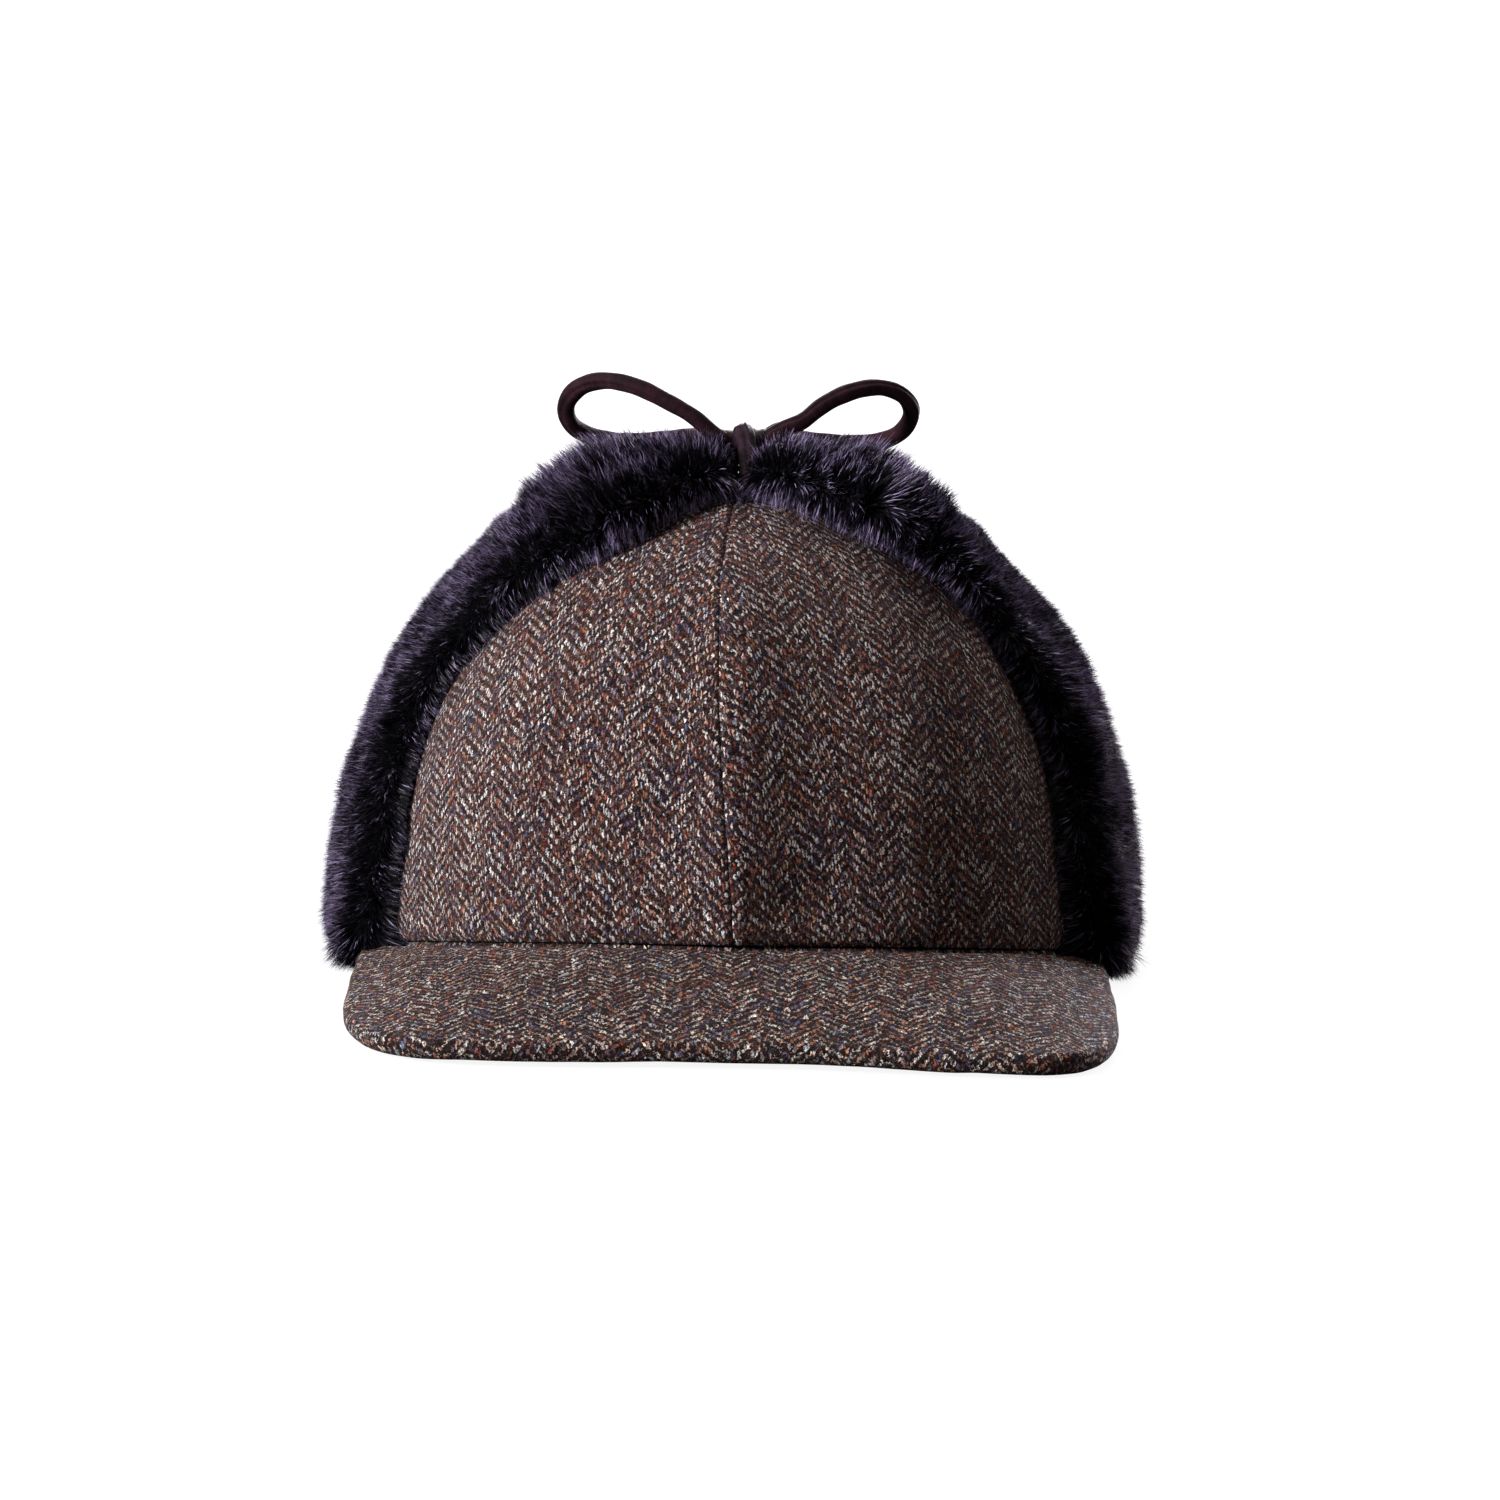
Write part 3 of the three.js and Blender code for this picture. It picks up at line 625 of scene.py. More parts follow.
# The strand that runs down in front of the knot, and the bundle of strands inside it.
STRAND = [
    (0.8, -12.6, 126.7), (1.5, -15.0, 125.5), (1.9, -17.4, 123.3), (2.2, -20.4, 120.7),
    (2.4, -23.4, 118.4), (2.5, -26, 116.7),
]
BUNDLE = [(-3.6, -10.6, 123.7), (-1, -10.2, 123.5), (2, -10, 123.3), (6.8, -10.4, 124.2)]


def over_crown(route):
    x, y, over = np.array(route, float).T
    height = crossing(lambda z: crown_field(x, y, z), 0, 2 * HEIGHT)
    return off_crown(np.stack([x, y, height], -1), over)


def frames_along(line, first_side):
    """The line's direction, and a side and an up that turn as little as possible along it."""
    going = unit(np.gradient(line, axis=0))
    side = np.empty_like(line)
    last = np.array(first_side, float)
    for i, g in enumerate(going):
        last = unit(last - g * (last @ g))
        side[i] = last
    return going, side, np.cross(going, side)


def tube(line, section, first_side=(0, 1, 0), twist=0.0, taper=0.0):
    """Points, faces and uv of a closed tube. section(turn, along) gives (side, up) offsets for each
    turn round it, twist is how far it turns from end to end, and taper narrows its far end."""
    rows, columns = len(line), 28
    going, side, up = frames_along(line, first_side)
    along = lengths_along(line)[:, None]
    turn = np.linspace(0, 2 * np.pi, columns, endpoint=False)[None, :]
    a, b = np.broadcast_arrays(*section(turn, along))
    spin = twist * along / along[-1]
    a, b = a * np.cos(spin) - b * np.sin(spin), a * np.sin(spin) + b * np.cos(spin)
    narrowed = 1 - taper * smooth(np.linspace(0, 1, rows)[:, None], 0.93, 1)
    a, b = (a * narrowed)[..., None], (b * narrowed)[..., None]
    sheath = line[:, None] + a * side[:, None] + b * up[:, None]
    tips = np.stack([line[0] - going[0] * CAP, line[-1] + going[-1] * CAP])
    points = np.concatenate([sheath.reshape(-1, 3), tips])
    uv = np.stack(np.broadcast_arrays(along, turn * LACE), -1).reshape(-1, 2)
    uv = np.concatenate([uv, [[0, 0], [along[-1, 0], 0]]])
    index = np.pad(numbered(rows, columns), ((0, 0), (0, 1)), "wrap")
    near, far, tip = index[0], index[-1], np.full(columns, rows * columns)
    fans = np.stack([near[1:], near[:-1], tip], -1), np.stack([far[:-1], far[1:], tip + 1], -1)
    return points, [grid_faces(index), np.concatenate(fans)], uv


def joined(*tubes):
    """Several tubes as one set of points, faces and uv."""
    points, faces, uv = zip(*tubes)
    starts = np.cumsum([0] + [len(p) for p in points])
    faces = [np.concatenate([f[k] + start for f, start in zip(faces, starts)]) for k in (0, 1)]
    return np.concatenate(points), faces, np.concatenate(uv)


def lace_section(turn, along):
    """The lace is a strip of leather folded in two: a rounded form with a groove along one edge."""
    groove = 0.3 * bell(np.angle(np.exp(1j * (turn - 2.2))), 0.22)
    swell = 0.025 * np.sin(along * 0.3 + 1) + 0.02 * np.sin(along * 0.9)
    square = 2.6  # 2 is round, and more is squarer
    rounded = (np.abs(np.cos(turn)) ** square + np.abs(np.sin(turn)) ** square) ** (1 / square)
    radius = LACE * (1 + swell) / rounded * (1 - groove)
    return 0.98 * radius * np.cos(turn), 0.92 * radius * np.sin(turn)


def band_section(turn, along):
    """The turn round the knot: wider than it is thick, with raised edges outside."""
    wide = 2.75 * signed_power(np.cos(turn), 0.75)
    edges = 0.38 * np.abs(np.cos(turn)) ** 3 * (np.sin(turn) > 0)
    return wide, 0.95 * np.sin(turn) + edges


def strand_section(turn, along):
    """The strand in front, which narrows downwards, with a fold and a furrow along its face."""
    wide = 2.3 * np.cos(turn) * (1 - 0.16 * smooth(along, 8, 18))
    fold = 0.8 * bell(np.cos(turn) - 0.3, 0.12) - 0.4 * bell(np.cos(turn) + 0.1, 0.15)
    thick = 1.5 * signed_power(np.sin(turn), 0.7)
    return wide, thick + fold * (np.sin(turn) > 0)


def bundle_section(turn, along):
    """The strands inside the turn."""
    return 3.9 * np.cos(turn), 2.5 * np.sin(turn)


def make_knot():
    """The turn of lace round the bundled strands, and the strand that runs down in front."""
    turns = np.linspace(-0.35, 2 * np.pi - 0.2, 90)
    lean = 3.0 * (-0.12 + 0.1 * np.sin(turns))
    ring = np.stack([
        1.1 * np.sin(turns * 0.5) + lean * np.cos(turns), -3.9 * np.cos(turns), 3.2 * np.sin(turns)
    ], -1)
    knot = joined(
        tube(KNOT + ring, band_section, first_side=(1, 0, 0)),
        tube(catmull_rom(STRAND, 60), strand_section, first_side=(1, 0, 0)),
        tube(catmull_rom(BUNDLE, 30), bundle_section),
    )
    new_piece("lace_knot", *knot, TIGHT_LEATHER, "lace", ["tie_knot"])


def make_bow():
    for name, route in {**LOOPS, **ENDS}.items():
        loop = name in LOOPS
        line = catmull_rom(route, 120) if loop else catmull_rom(over_crown(route), 70)
        for _ in range(10):
            line[1:-1] = (line[:-2] + 2 * line[1:-1] + line[2:]) / 4
        lace = tube(line, lace_section, twist=1.2 if loop else -0.8, taper=0.0 if loop else 0.12)
        piece = new_piece(name.replace("tie", "lace"), *lace, LEATHER, "lace", [name])
        in_metres(line[0]).tolist()
        in_metres(line).tolist()
    make_knot()


make_bow()

# ---- Crown ----

SEAM_GAP = 0.004  # between the cloth of two panels
FRONT_GRAIN = {  # the angle that a front panel's grain follows, and how far it turns from there
    "left": (math.radians(16), -0.07),
    "right": (math.radians(-26), -0.10),
}


def gore_uv(points, middle, turn):
    """The cloth's flat place at each point: across and up the panel. The grain follows the line up
    the crown at the angle middle, turned a little to its left."""
    outward = np.array([math.sin(middle), -math.cos(middle), 0])
    sideways = np.array([math.cos(middle), math.sin(middle), 0])
    a, b = points @ outward, points @ sideways
    far = np.linalg.norm(points, axis=-1)
    u, v = far * np.arcsin(b / far), 100 * np.arctan2(points[..., 2], a)
    cos, sin = math.cos(turn), math.sin(turn)
    return np.stack([u * cos - v * sin, v * cos + u * sin], -1)


def tip_height(angle):
    power = rise_power(angle)
    return HEIGHT * (1 - (TIP_RADIUS / plan_radius(angle)) ** power) ** (1 / power)


def panel_grid(start, stop):
    """Points of the crown between two angles, closer together at the seams, with the share of the
    way across, the width there, the angle and the rim's height."""
    crowding = 2.9
    near = np.exp(crowding * np.linspace(0, 1, 27)) - 1
    near = near / near[-1] / 2
    columns = np.concatenate([near, 1 - near[-2::-1]])
    up, across = np.meshgrid(np.linspace(0, 1, 62) ** 1.15, columns, indexing="ij")
    angle = mix(start, stop, across)
    in_front = smooth(-np.abs(angle), math.radians(-75), math.radians(-60))
    low = rim_height(angle) - 1.1 * in_front  # sewn in behind the peak
    middle = (start + stop) / 2
    top = tip_height(middle)
    height = top * np.sin(mix(np.arcsin(low / top), np.pi / 2, up))
    radius = np.linalg.norm(crown_point(np.full(height.shape, middle), height)[..., :2], axis=-1)
    inset = np.arcsin(SEAM_GAP / 2 / radius)
    angle = mix(start + inset, stop - inset, across)
    # the front seam doesn't run quite straight
    wander = np.interp(height, [14, 31, 53, 72, 98, HEIGHT], [0.7, -0.5, -2.4, -3.5, -3.7, -0.6])
    share = np.maximum(1 - np.abs(angle) / SEAMS[1], 0) ** 2
    angle = angle + wander / np.maximum(radius, 12) * share
    points = crown_point(angle, np.minimum(height, tip_height(angle)))
    return points, across, radius * (stop - start), angle * radius, low


def crown_panel(name, start, stop, number, grain, turn):
    base, across, width, from_front, low = panel_grid(start, stop)
    x, y, z = np.moveaxis(base, -1, 0)
    seam = np.minimum(across, 1 - across) * width  # the way to the nearer seam
    share = np.clip(width / 12, 0, 1)
    # the groove of the seam, its turned edges, and the row of stitches beside it
    turned_edge = 0.22 * smooth(seam, 0.2, 1.2) * (1 - smooth(seam, 2.4, 3.6))
    pucker = 0.08 * np.sin(z / 1.9 + number) * bell(seam, 3.0)
    relief = share * (turned_edge + pucker - 0.4 * bell(seam, 0.45) - 0.12 * bell(seam - 3.0, 0.45))
    relief -= 1.2 * bell(z - low, 1.2)  # drawn in at the rim
    if name == "panel_front_left":
        relief -= 1.4 * bell(x - 24, 15) * smooth(z, 16, 30)
    # the front seam stands out along a ridge
    ridge = 1.3 * bell(from_front, 9) + 1.9 * bell(from_front, 20)
    relief += ridge * (1 - smooth(z, 85, 108)) * (0.4 + 0.6 * smooth(z - low, 2, 14))
    relief += 0.28 * noise(base, 17, 3) + 0.12 * noise(base, 6, 4)
    # beside a seam the cloth stands straight out from it, so that two panels meet
    way = crown_normal(base)
    sideways = unit(np.stack([-y, x, np.zeros_like(x)], -1))
    aside = (way * sideways).sum(-1) * bell(seam, 1.2)
    way = unit(way - sideways * aside[..., None])
    uv = gore_uv(base, grain, turn) + np.array([number * 37.0, number * 11.3])
    cloth = shell(base + relief[..., None] * way, base - WALL * way, uv)
    new_piece(name, *cloth, TWEED, "tweed", [name.replace("panel", "crown")])


for side_name, side in SIDES:
    for i, part in enumerate(("front", "side", "back")):
        bounds = sorted((side * SEAMS[i], side * SEAMS[i + 1]))
        grain, turn = FRONT_GRAIN[side_name] if part == "front" else (sum(bounds) / 2, 0.0)
        crown_panel(f"panel_{part}_{side_name}", *bounds, 2 * i + (side > 0), grain, turn)

# ---- Peak ----

PEAK_HALF, WIDEST_AT, FRONT_AT, END_AT, END_INSET = 89.5, 86, 157, 50, 0.5
THICK, FRONT_TOP = 5.2, 6.6  # the peak's thickness, and the height of its front edge
# The peak is a little bent: the powers of its corners, the heights of its sides, and how far
# forward its corners reach, on the right and on the left.
CORNER, SIDE_TOP, FORWARD = (4.1, 3.95), (5.8, 5.2), (9, 24)
ARCH = 0.86  # the share of the outline, from its middle, before the straight run to the temple


def of_side(along, right_and_left):
    return np.where(along < 0, *right_and_left)


def peak_outline(along):
    """The peak's edge seen from above. along runs from -1 at the right temple to 1 at the left."""
    turn = np.minimum(np.abs(along) / ARCH, 1) * np.pi / 2
    back = np.maximum(np.abs(along) - ARCH, 0) / (1 - ARCH)
    power = 2 / of_side(along, CORNER)
    x = PEAK_HALF * np.sin(turn) ** power - END_INSET * back**2
    front = FRONT_AT - WIDEST_AT + of_side(along, FORWARD) * np.sin(turn)
    front = front * np.maximum(np.cos(turn), 0) ** power
    y = -WIDEST_AT - front + (WIDEST_AT - END_AT) * back
    return np.stack([np.sign(along) * x, y], -1)


def peak_grid():
    """The peak's surface in rows from the seam over the top and round the edge back to the seam
    below, and the cloth's flat place at each point."""
    half = THICK / 2
    temple = crossing(lambda a: END_AT - plan_radius(a) * np.cos(a), 0, np.pi / 2)
    along = signed_power(2 * np.linspace(0, 1, 181) - 1, 0.92)
    low = rim_height(along * temple)
    seam = off_crown(crown_point(along * temple, low), -WALL)[:, :2]
    outline = peak_outline(along)
    chord = unit(np.gradient(outline, axis=0))
    outward = np.stack([chord[:, 1], -chord[:, 0]], -1)
    outward *= np.sign((outward * (outline - [0, -60])).sum(-1))[:, None]
    edge = outline - outward * half  # where the top face ends and the round begins
    edge_top = mix(FRONT_TOP, of_side(along, SIDE_TOP), smooth(np.abs(along), 0, 0.6))
    rows, flats = [], []

    def add_row(xy, z, flat):
        rows.append(np.column_stack([xy, z]))
        flats.append(flat * [1, -1])

    way_out = np.linspace(0, 1, 34) ** 1.25

    def face_row(out):
        return mix(seam, edge, out), mix(low - 0.3, edge_top, out * mix(0.85, 1, out))

    for out in way_out:
        xy, top = face_row(out)
        beyond = np.linalg.norm(xy - seam, axis=-1) - WALL
        # it dips where it meets the crown
        add_row(xy, top - 2.0 * bell(beyond, 1.6) - 0.8 * bell(beyond, 7), xy)
    for theta in np.linspace(0, np.pi, 13)[1:-1]:
        xy = edge + outward * half * math.sin(theta)
        add_row(xy, edge_top - half + half * math.cos(theta), edge + outward * half * theta)
    turned = edge + outward * half * math.pi
    for out in way_out[::-1]:
        xy, top = face_row(out)
        flat = np.column_stack([xy[:, 0], turned[:, 1] - (xy - edge)[:, 1]])
        add_row(xy, top - THICK, flat)
    return np.array(rows), np.array(flats)


def make_peak():
    grid, uv = peak_grid()
    height, width = grid.shape[:2]
    index = numbered(height, width)
    normal = unit(np.cross(np.gradient(grid, axis=0), np.gradient(grid, axis=1)))
    normal = normal * np.sign(normal[5, width // 2, 2])
    row = np.arange(height)[:, None]
    settled = smooth(row, 0, 2) * smooth(height - 1 - row, 0, 2)
    swell = settled * (0.22 * noise(grid, 15, 21) + 0.1 * noise(grid, 5, 22))
    grid = grid + normal * swell[..., None]
    grid[..., 2] = np.maximum(grid[..., 2], 0.02)
    # the back of the peak and its two ends are closed
    faces = [grid_faces(index), grid_faces(index[[0, -1]].T)]
    for column, way in ((0, 1), (-1, -1)):
        pair = [part[: height // 2, column] for part in (index, index[::-1])]
        faces.append(grid_faces(np.array(pair))[:, ::way])
    new_piece(
        "peak_cover", grid.reshape(-1, 3), [np.concatenate(faces)], uv.reshape(-1, 2),
        PEAK_TWEED_LIT_AND_SHADED, "tweed", ["peak"],
    )


make_peak()

# ---- Flaps ----

AIR, CLOTH, CLOTH_INSET = 0.7, 1.9, 4.2  # under the cloth, its thickness, and from the fur's edge
ROOT, BACKING = 3.0, 2.75  # heights over the crown of the hair's roots, and of the undercoat's back
FUR_BACK = 3.3  # how far out the rim's fur is backed
LOW_ARC = math.asin(RIM / HALF_WIDTH) + math.radians(0.25)
TOP_ARC, LAST_ARC = math.pi / 2, math.acos(0.08 / HEIGHT)
# arc in degrees from level, depth of the front edge, thickness of cloth and fur
EARFLAPS = {
    -1: [
        (0, -41, 14.6), (20, -41, 14.2), (40, -27, 13.6), (57, -36, 11.4), (72, -41, 17),
        (90, -23, 12.8),
    ],
    1: [
        (0, -40.5, 14.6), (20, -44, 15.2), (42, -32, 15.2), (56, -28, 11.2), (72, -31, 16),
        (90, -23, 12.8),
    ],
}
FRONT_EDGE, THICKNESS = 1, 2  # columns of that table
NECK_TOP, NECK_PILE = 50.0, 14.2
JOINT = 42.35  # the depth at which the neck's flap meets the earflaps
# The fur's section under the rim, from the inside of the cap outwards: how far out, and how high.
HEM = np.array([(-2.4, 2.9), (-0.6, 0.0), (11.0, 0.0), (13.8, 1.7), (14.7, 5.8)])
HEM_ROWS = 25


def flap_value(side, arc, column):
    rows = np.array(EARFLAPS[side], float)
    degrees = np.degrees(arc)
    i = np.clip(np.searchsorted(rows[:, 0], degrees), 1, len(rows) - 1)
    share = smooth(degrees, rows[i - 1, 0], rows[i, 0])
    return mix(rows[i - 1, column], rows[i, column], share)


def back_edge(arc):
    return mix(42.0, 26.0, smooth(arc, math.radians(41), TOP_ARC))


def earflap_pile(side, arc, y):
    """How far the fur reaches out, less where the flaps meet on top and behind the bow."""
    rise = np.clip((HEIGHT * (TOP_ARC - arc) - 1.0) / 4.5, 0, 1)
    behind_bow = smooth(arc, math.radians(60), math.radians(70)) * smooth(y, -15, -3)
    full = flap_value(side, arc, THICKNESS) - 8 * behind_bow
    return mix(4.8, full, np.sqrt(1 - (1 - rise) ** 2))


def fringe_profile(t):
    """Across a free edge: how far past it, and the share of the pile. t runs from 0 under the edge
    to 1 where the pile is full."""
    places = np.linspace(0, 1, 6)
    return (
        np.interp(t, places, [5.4, 6.2, 6.2, 4.9, 2.2, -3]),
        np.interp(t, places, [0.03, 0.2, 0.44, 0.72, 0.92, 1]),
    )


def hem_rows(base, root_base, scale=1.0):
    """Rows of tips, roots and backs under the rim. scale is the pile's share of the full depth."""
    tip_way, root_way = (unit(crown_normal(p) * [1, 1, 0]) for p in (base, root_base))

    def row(start, way, out, z):
        points = start + way * np.reshape(out, (-1, 1))
        points[:, 2] = z
        return points

    for up in np.linspace(0, 1, HEM_ROWS):
        out, z = (np.interp(up, np.linspace(0, 1, len(HEM)), column) for column in HEM.T)
        yield (
            row(base, tip_way, FUR_BACK + (out - FUR_BACK) * scale if out > FUR_BACK else out, z),
            row(root_base, root_way, ROOT, mix(5.0, 8.0, up)),
            row(root_base, root_way, 1.0, mix(4.0, 8.0, up)),
        )


def pile_row(base, root_base, pile):
    """A row of tips, roots and backs over points of the crown."""
    return off_crown(base, pile), off_crown(root_base, ROOT), off_crown(root_base, BACKING)


class Pelt:
    """Fur between a grid of roots and a grid of tips."""

    def __init__(self, rows, free):
        self.tip, self.root, self.back = (np.array(part) for part in zip(*rows))
        tip = self.tip
        self.free = np.broadcast_to(free, tip.shape[:2])[..., None]  # 1 at a free edge
        # places on the pelt laid flat: down it, and across it from its middle
        step = np.linalg.norm(np.diff(tip, axis=0, prepend=tip[:1]), axis=-1)
        reach = np.linalg.norm(np.diff(tip, axis=1, prepend=tip[:, :1]), axis=-1)
        down = np.cumsum(np.median(step, axis=1))[:, None]
        across = np.cumsum(reach, axis=1)
        middle = tip.shape[1] // 2
        across = across - across[:, middle : middle + 1]
        self.flat = np.stack(np.broadcast_arrays(down, across), -1)
        down, across = np.gradient(tip, axis=0), np.gradient(tip, axis=1)
        self.down, self.across, normal = unit(down), unit(across), unit(np.cross(down, across))
        self.normal = normal * np.sign(((tip - self.root) * normal).sum())

    def at(self, grid, r, c):
        i, j = r.astype(int), c.astype(int)
        a, b = (r - i)[:, None], (c - j)[:, None]
        return mix(
            mix(grid[i, j], grid[i, j + 1], b), mix(grid[i + 1, j], grid[i + 1, j + 1], b), a
        )

    def scatter(self, count, rng):
        """Random places, even over the tips' surface."""
        down = np.diff(self.tip, axis=0)[:, :-1]
        across = np.diff(self.tip, axis=1)[:-1]
        area = np.linalg.norm(np.cross(down, across), axis=-1)
        cells = rng.choice(area.size, count, p=(area / area.sum()).ravel())
        r, c = np.unravel_index(cells, area.shape)
        return r + rng.random(count), c + rng.random(count)


def earflap_pelt(side):
    edge = np.linspace(0, 1, 17)[:-1]
    past_front, share_front = fringe_profile(edge)
    past_back, share_back = fringe_profile(edge[::-1])
    middle = np.linspace(0, 1, 33)

    def columns(arc):
        """Depths of the tips and of the roots along a row, and the share of the pile."""
        front, back = flap_value(side, arc, FRONT_EDGE), back_edge(arc)
        free = smooth(arc, math.radians(42), math.radians(50))  # above the neck's flap
        y = np.concatenate([
            front - past_front, mix(front + 3, back - mix(4.8, 3, free), middle),
            back + mix(-4.8 * edge[::-1], past_back, free),
        ])
        share = np.concatenate([share_front, np.ones(len(middle)), mix(1.0, share_back, free)])
        return y, np.clip(y, front + 2.6, back - mix(0.2, 2.6, free)), share

    y, root_y, share = columns(LOW_ARC)
    pile = flap_value(side, LOW_ARC, THICKNESS)
    scale = (share * pile - FUR_BACK) / (pile - FUR_BACK)
    base, root_base = (crown_across(side, LOW_ARC, depth) for depth in (y, root_y))
    rows = list(hem_rows(base, root_base, scale))
    side_arcs = np.linspace(math.radians(9), TOP_ARC - 8.5 / HEIGHT, 120)
    for arc in (*side_arcs, *np.linspace(TOP_ARC - 8.0 / HEIGHT, LAST_ARC, 10)):
        y, root_y, share = columns(arc)
        base, root_base = (crown_across(side, arc, depth) for depth in (y, root_y))
        rows.append(pile_row(base, root_base, np.maximum(share * earflap_pile(side, arc, y), 0.5)))
    return Pelt(rows, np.concatenate([1 - edge, np.zeros(len(middle) + len(edge))]))


def neck_base(share, height):
    """Points of the crown round the back, from one earflap to the other."""
    joint = crossing(lambda a: crown_point(a, height)[..., 1] - JOINT, np.pi / 2, np.pi)
    return crown_point(mix(joint, 2 * math.pi - joint, share), height)


def neck_pelt():
    share = np.linspace(0, 1, 150)
    base = neck_base(share, RIM)
    rows = list(hem_rows(base, base))
    for z in np.linspace(13, NECK_TOP - 3, 40):
        base = neck_base(share, z)
        rows.append(pile_row(base, base, NECK_PILE))
    fringe = np.linspace(0.97, 0, 20)
    free = np.concatenate([np.zeros(len(rows)), 1 - fringe])
    for past, part in zip(*fringe_profile(fringe)):
        base, root_base = (neck_base(share, NECK_TOP + p) for p in (past, min(past, -2.6)))
        rows.append(pile_row(base, root_base, part * NECK_PILE))
    return Pelt(rows, free[:, None])


def undercoat(name, pelt, node):
    """The depth of the fur, on which the hairs stand."""
    lumps = 1 + 0.10 * noise(pelt.tip, 4.5, 31) + 0.05 * noise(pelt.tip, 1.6, 32)
    outer = mix(pelt.root, pelt.tip, (0.66 * lumps)[..., None])
    outer[..., 2] = np.maximum(outer[..., 2], 0.3)
    form = shell(*(grid[::2, ::2] for grid in (outer, pelt.back, pelt.flat)))
    new_piece(name, *form, UNDERCOAT, "fur", [node])


# ---- Hair ----

HAIR = 0.17  # a hair's width
STATIONS = (0.5, 0.78, 1.0)  # the shares of a hair's way from root to tip that are made


def hair(name, pelt, count, seed, groom, lengthen=None):
    """Hairs as narrow ribbons. They gather into locks, and the locks into tufts. groom gives the
    lean of each hair, down and across the pelt, as a share of its length."""
    rng = np.random.default_rng(seed)
    r, c = pelt.scatter(count, rng)
    root, tip, place = (pelt.at(grid, r, c) for grid in (pelt.root, pelt.tip, pelt.flat))
    down, across, outward = (
        unit(pelt.at(grid, r, c)) for grid in (pelt.down, pelt.across, pelt.normal)
    )
    free = pelt.at(pelt.free, r, c)[:, 0]
    high = tip[:, 2]
    long = np.linalg.norm(tip - root, axis=-1)
    tuft_way, tuft = nearest_seed(place, 10.0, 101)
    lock_way, lock = nearest_seed(place + 0.6 * noise(place, 3.0, 5)[:, None], 2.7, 202)

    # the hair is calmer at a free edge, near the rim, and on the sides of the cap
    sideways = 1 - smooth(np.abs(outward[:, 1]), 0.1, 0.55)
    calm = (1 - 0.3 * free) * (1 - 0.5 * smooth(-high, -26, -10)) * (1 - 0.4 * sideways)
    lean = np.zeros((count, 2))
    for k, groomed in enumerate(groom(tip, free)):
        lean[:, k] += 0.16 * calm * (2 * chance(tuft, 11 + k) - 1)
        lean[:, k] += 0.13 * calm * (2 * chance(lock, 13 + k) - 1)
        lean[:, k] += 0.075 * rng.standard_normal(count)
        lean[:, k] += (0.42 * lock_way[:, k] + 0.12 * tuft_way[:, k]) * calm / np.maximum(long, 3)
        lean[:, k] += groomed
    stray = np.minimum(rng.exponential(size=count), 4)  # few are long, so the outline is soft
    uneven = 2 * chance(tuft, 17) - 1 + 2 * chance(lock, 19) - 1 + noise(place, 16.0, 41)
    size = 0.885 + 0.07 * calm * uneven + 0.045 * stray
    if lengthen is not None:
        size = size * lengthen(tip)

    # each hair is a curve from its root by way of bow to its end. Near a free edge it bows outward
    # first, and so is combed over the edge
    over = smooth(free + 0.2 * noise(place, 9.0, 44), 0.42, 0.74)
    end = tip + long[:, None] * (lean[:, :1] * down + lean[:, 1:] * across)
    end = root + (end - root) * size[:, None]
    bow = root + unit(tip - root) * (0.62 * long * size)[:, None]
    bow = bow + unit(root - pelt.at(pelt.back, r, c)) * (3.6 * over)[:, None]
    end[:, 2] = np.maximum(end[:, 2], 0.15)
    bow[:, 2] = np.maximum(bow[:, 2], 0.5)
    low, middle, last = (
        root * (1 - t) ** 2 + bow * 2 * t * (1 - t) + end * t * t for t in STATIONS
    )
    going = unit(last - low)
    aside = unit(np.cross(going, unit(rng.standard_normal((count, 3)))))
    inward = (np.cross(aside, going) * outward).sum(-1) < 0
    aside *= np.where(inward, -1, 1)[:, None]
    width = HAIR * (0.7 + 0.6 * rng.random(count))[:, None] / 2
    points = np.stack([
        low - aside * width, low + aside * width,
        middle - aside * width * 0.8, middle + aside * width * 0.8, last,
    ], 1)
    points[..., 2] = np.maximum(points[..., 2], 0.1)
    first = 5 * np.arange(count)[:, None]

    # a few hairs are pale, most of them the long ones; the rest is painted light and shade
    painted_light_share = smooth(high, 35, 85)
    pale = 0.35 * chance(lock, 23) + 0.15 * (chance(tuft, 29) - 0.5)
    pale += 0.72 * rng.random(count) ** 2.4 + 0.4 * smooth(stray, 1.8, 3.2)
    # painted light: paler near the top
    pale += 0.09 * smooth(high, 85, 110) - 0.04
    # painted light in streaks on free edges higher up, and painted shade on them lower down
    pale += (0.3 * smooth(noise(place, 14.0, 43), -0.2, 0.6) * painted_light_share - 0.12 * (1 - painted_light_share)) * over
    # painted light on the sides of the cap, and painted shade in a band just inside each free edge
    pale += (0.02 + 0.16 * noise(place, 8.0, 47)) * sideways - 0.12 * bell(free - 0.42, 0.13)
    along = np.repeat(STATIONS, (2, 2, 1))
    uv = np.stack(np.broadcast_arrays(along, pale[:, None]), -1)
    faces = [first + [0, 1, 3, 2], first + [2, 3, 4]]
    new_piece(name, points.reshape(-1, 3), faces, uv.reshape(-1, 2), FUR, "fur")


def combed(free):
    """The lean across a free edge: away from it where the fur is full, and over it nearer by."""
    return 0.3 * bell(free - 0.22, 0.12) - 0.4 * bell(free - 0.68, 0.16)


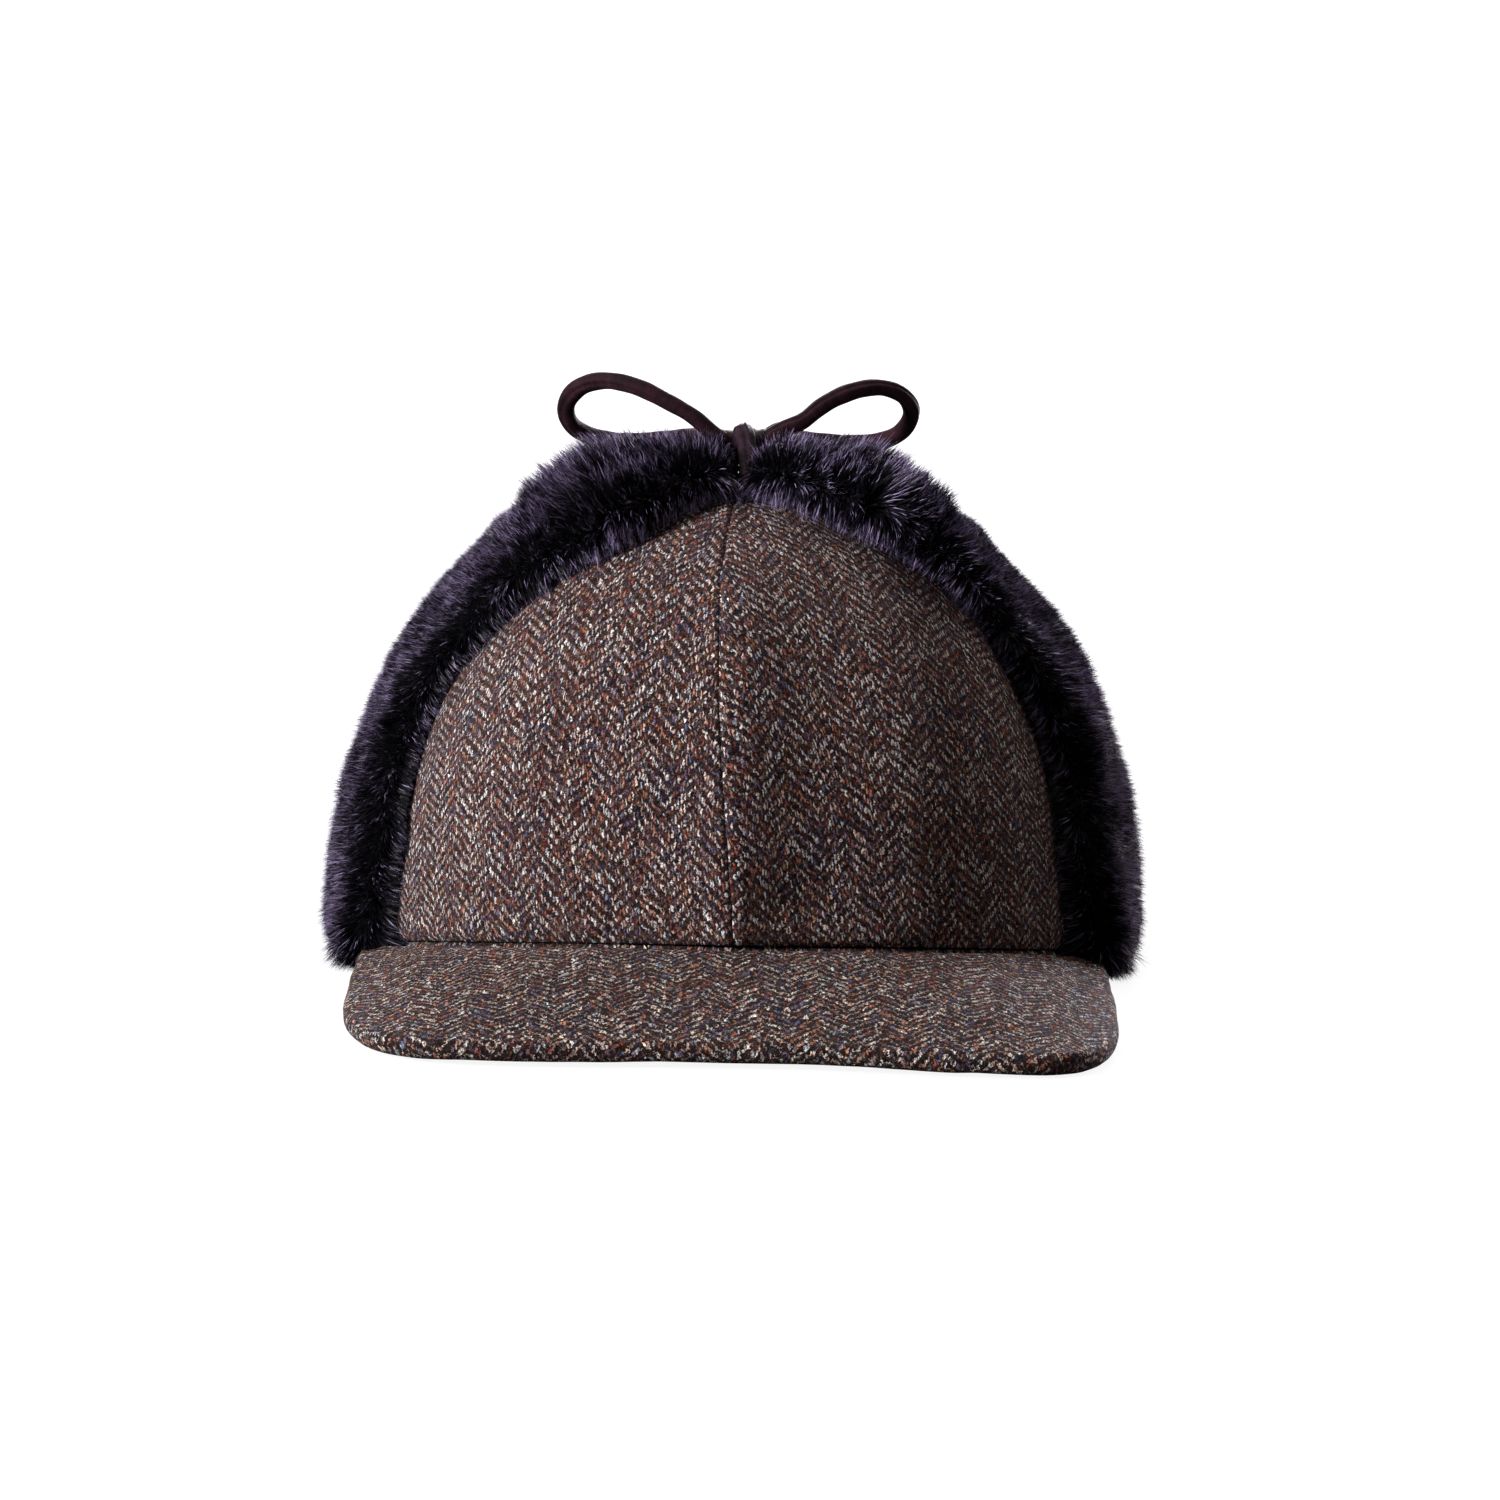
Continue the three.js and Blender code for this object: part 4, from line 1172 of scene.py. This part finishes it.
def groom_earflap(tip, free):
    """Down to the rim, over the valley on top, and a little towards the front."""
    corner = smooth(-tip[:, 1], 32, 44) * smooth(-tip[:, 2], -22, -6)
    down = mix(-0.1, 0.3, smooth(-np.abs(tip[:, 0]), -12, -3))
    return down, combed(free) - (0.08 + 0.25 * corner)


def groom_neck(tip, free):
    return -combed(free) - 0.1, 0.0


def lengthen_earflap(tip):
    """Longer beside the ends of the peak, and below the bow."""
    x, y, z = tip.T
    corner = smooth(-y, 30, 42) * smooth(-z, -20, -5)
    below_bow = smooth(z, 105, 114) * smooth(-y, 8, 15)
    beside_strand = smooth(np.abs(x - 2), 2, 8)
    return 1 + 0.32 * corner + 0.24 * below_bow * beside_strand


def flap_cloth(name, base, uv, node):
    """The cloth of a flap, over points of the crown."""
    form = shell(off_crown(base, AIR + CLOTH), off_crown(base, AIR), uv)
    cloth = new_piece(name, *form, TWEED, "tweed", [node])


def make_flaps():
    for name, side in SIDES:
        arc, share = np.meshgrid(
            np.linspace(LOW_ARC + 0.007, LAST_ARC, 90), np.linspace(0, 1, 44), indexing="ij"
        )
        front, back = flap_value(side, arc, FRONT_EDGE) + CLOTH_INSET, back_edge(arc) - CLOTH_INSET
        base = crown_across(side, arc, mix(front, back, share))
        uv = np.stack([base[..., 1] + 50, HEIGHT * arc], -1)
        flap_cloth(
            f"flap_cloth_{name}", base, uv, f"earflap_cloth_{name}",
        )
        pelt = earflap_pelt(side)
        undercoat(f"undercoat_{name}", pelt, f"earflap_fur_{name}")
        for part in "ab":
            hair(
                f"fur_{name}_{part}", pelt, 50000, 40 + side + ord(part), groom_earflap,
                lengthen_earflap,
            )
    up, share = np.meshgrid(np.linspace(0, 1, 30), np.linspace(0, 1, 110), indexing="ij")
    base = neck_base(share, mix(RIM + 0.6, NECK_TOP, up))
    flap_cloth(
        "flap_cloth_neck", base, np.stack([share * 210, up * 46], -1), "neck_flap_cloth",
    )
    pelt = neck_pelt()
    undercoat("undercoat_neck", pelt, "neck_flap_fur")
    hair("fur_neck", pelt, 50000, 77, groom_neck)


make_flaps()

# ---- Light and floor ----

LIT = (0, 0, 0.06)  # what the lights point at, in metres, as are their places and sizes
WARM, COOL = (1, 0.96, 0.93), (0.95, 0.92, 1)
LIGHTS = {  # place, size, power and colour
    "key": ((-1.49, -0.86, 0.64), 0.4, 50, (1, 1, 1)),
    "fill": ((1.95, -0.6, 0.7), 1.2, 5, (1, 0.9, 0.87)),
    "top": ((-0.2, 0.3, 1.7), 0.9, 7.5, WARM),
    "rim_right": ((0.35, 1.75, 0.5), 0.5, 34, COOL),
    "rim_left": ((-0.4, 1.7, 0.55), 0.6, 16, COOL),
    "side_right": ((0.95, 1.35, 0.16), 0.5, 34, (0.95, 0.9, 1)),
    "back_right": ((0.7, 0.9, 1.3), 0.5, 4, WARM),
    "back_left": ((-0.9, 0.9, 1.2), 0.5, 6, WARM),
}
SHADE = 86, 100  # half the width and length of the patch under the cap that doesn't glow


def make_light(name, place, size, power, colour):
    lamp = bpy.data.lights.new(name, "AREA")
    lamp.shape, lamp.size, lamp.energy, lamp.color = "DISK", size, power, colour
    back = unit(np.subtract(place, LIT))
    new_object(name, lamp).matrix_world = standing(unit(np.cross([0, 0, 1], back)), back, place)


def make_floor():
    """A grey floor that glows for the camera, but not where the cap covers it, which leaves a
    painted shadow under the cap.
    """
    bpy.ops.mesh.primitive_plane_add(size=40, location=(0, 0, 0))
    floor = bpy.context.object
    floor.name = "floor"
    s = Shader(
        "floor", Base_Color=(0.16, 0.16, 0.16, 1), Roughness=1, Specular_IOR_Level=0,
        Emission_Color=(1, 1, 1, 1),
    )
    wide, deep = SHADE
    pairs = (
        (0, s.value("ShaderNodeTexCoord", output="Object")),
        (1, (1000 / wide, 1000 / deep, 0)), (2, (0, -HEAD[1] / deep, 0)),
    )
    scaled = s.value("ShaderNodeVectorMath", *pairs, operation="MULTIPLY_ADD")
    away = s.value("ShaderNodeVectorMath", (0, scaled), output="Value", operation="LENGTH")
    seen = s.value("ShaderNodeLightPath", output="Is Camera Ray")
    s.set(Emission_Strength=seen * (away.between(1.0, 1.12) * 0.9 + away.between(8, 20) * 0.2))
    floor.data.materials.append(s.material)


def make_world():
    """A pale world that is bright for the camera, and lights the cap only a little."""
    world = bpy.data.worlds.new("studio")
    bpy.context.scene.world = world
    world.use_nodes = True
    tree = world.node_tree
    seen = Value(tree, tree.nodes.new("ShaderNodeLightPath").outputs["Is Camera Ray"])
    background = tree.nodes["Background"]
    feed(tree, background, ("Color", (1, 0.93, 0.9, 1)), ("Strength", seen * 1.21 + 0.04))


for name, settings in LIGHTS.items():
    make_light(name, *settings)
make_floor()
make_world()
bpy.context.scene.view_settings.view_transform = "Standard"
bpy.context.scene.view_settings.look = "None"
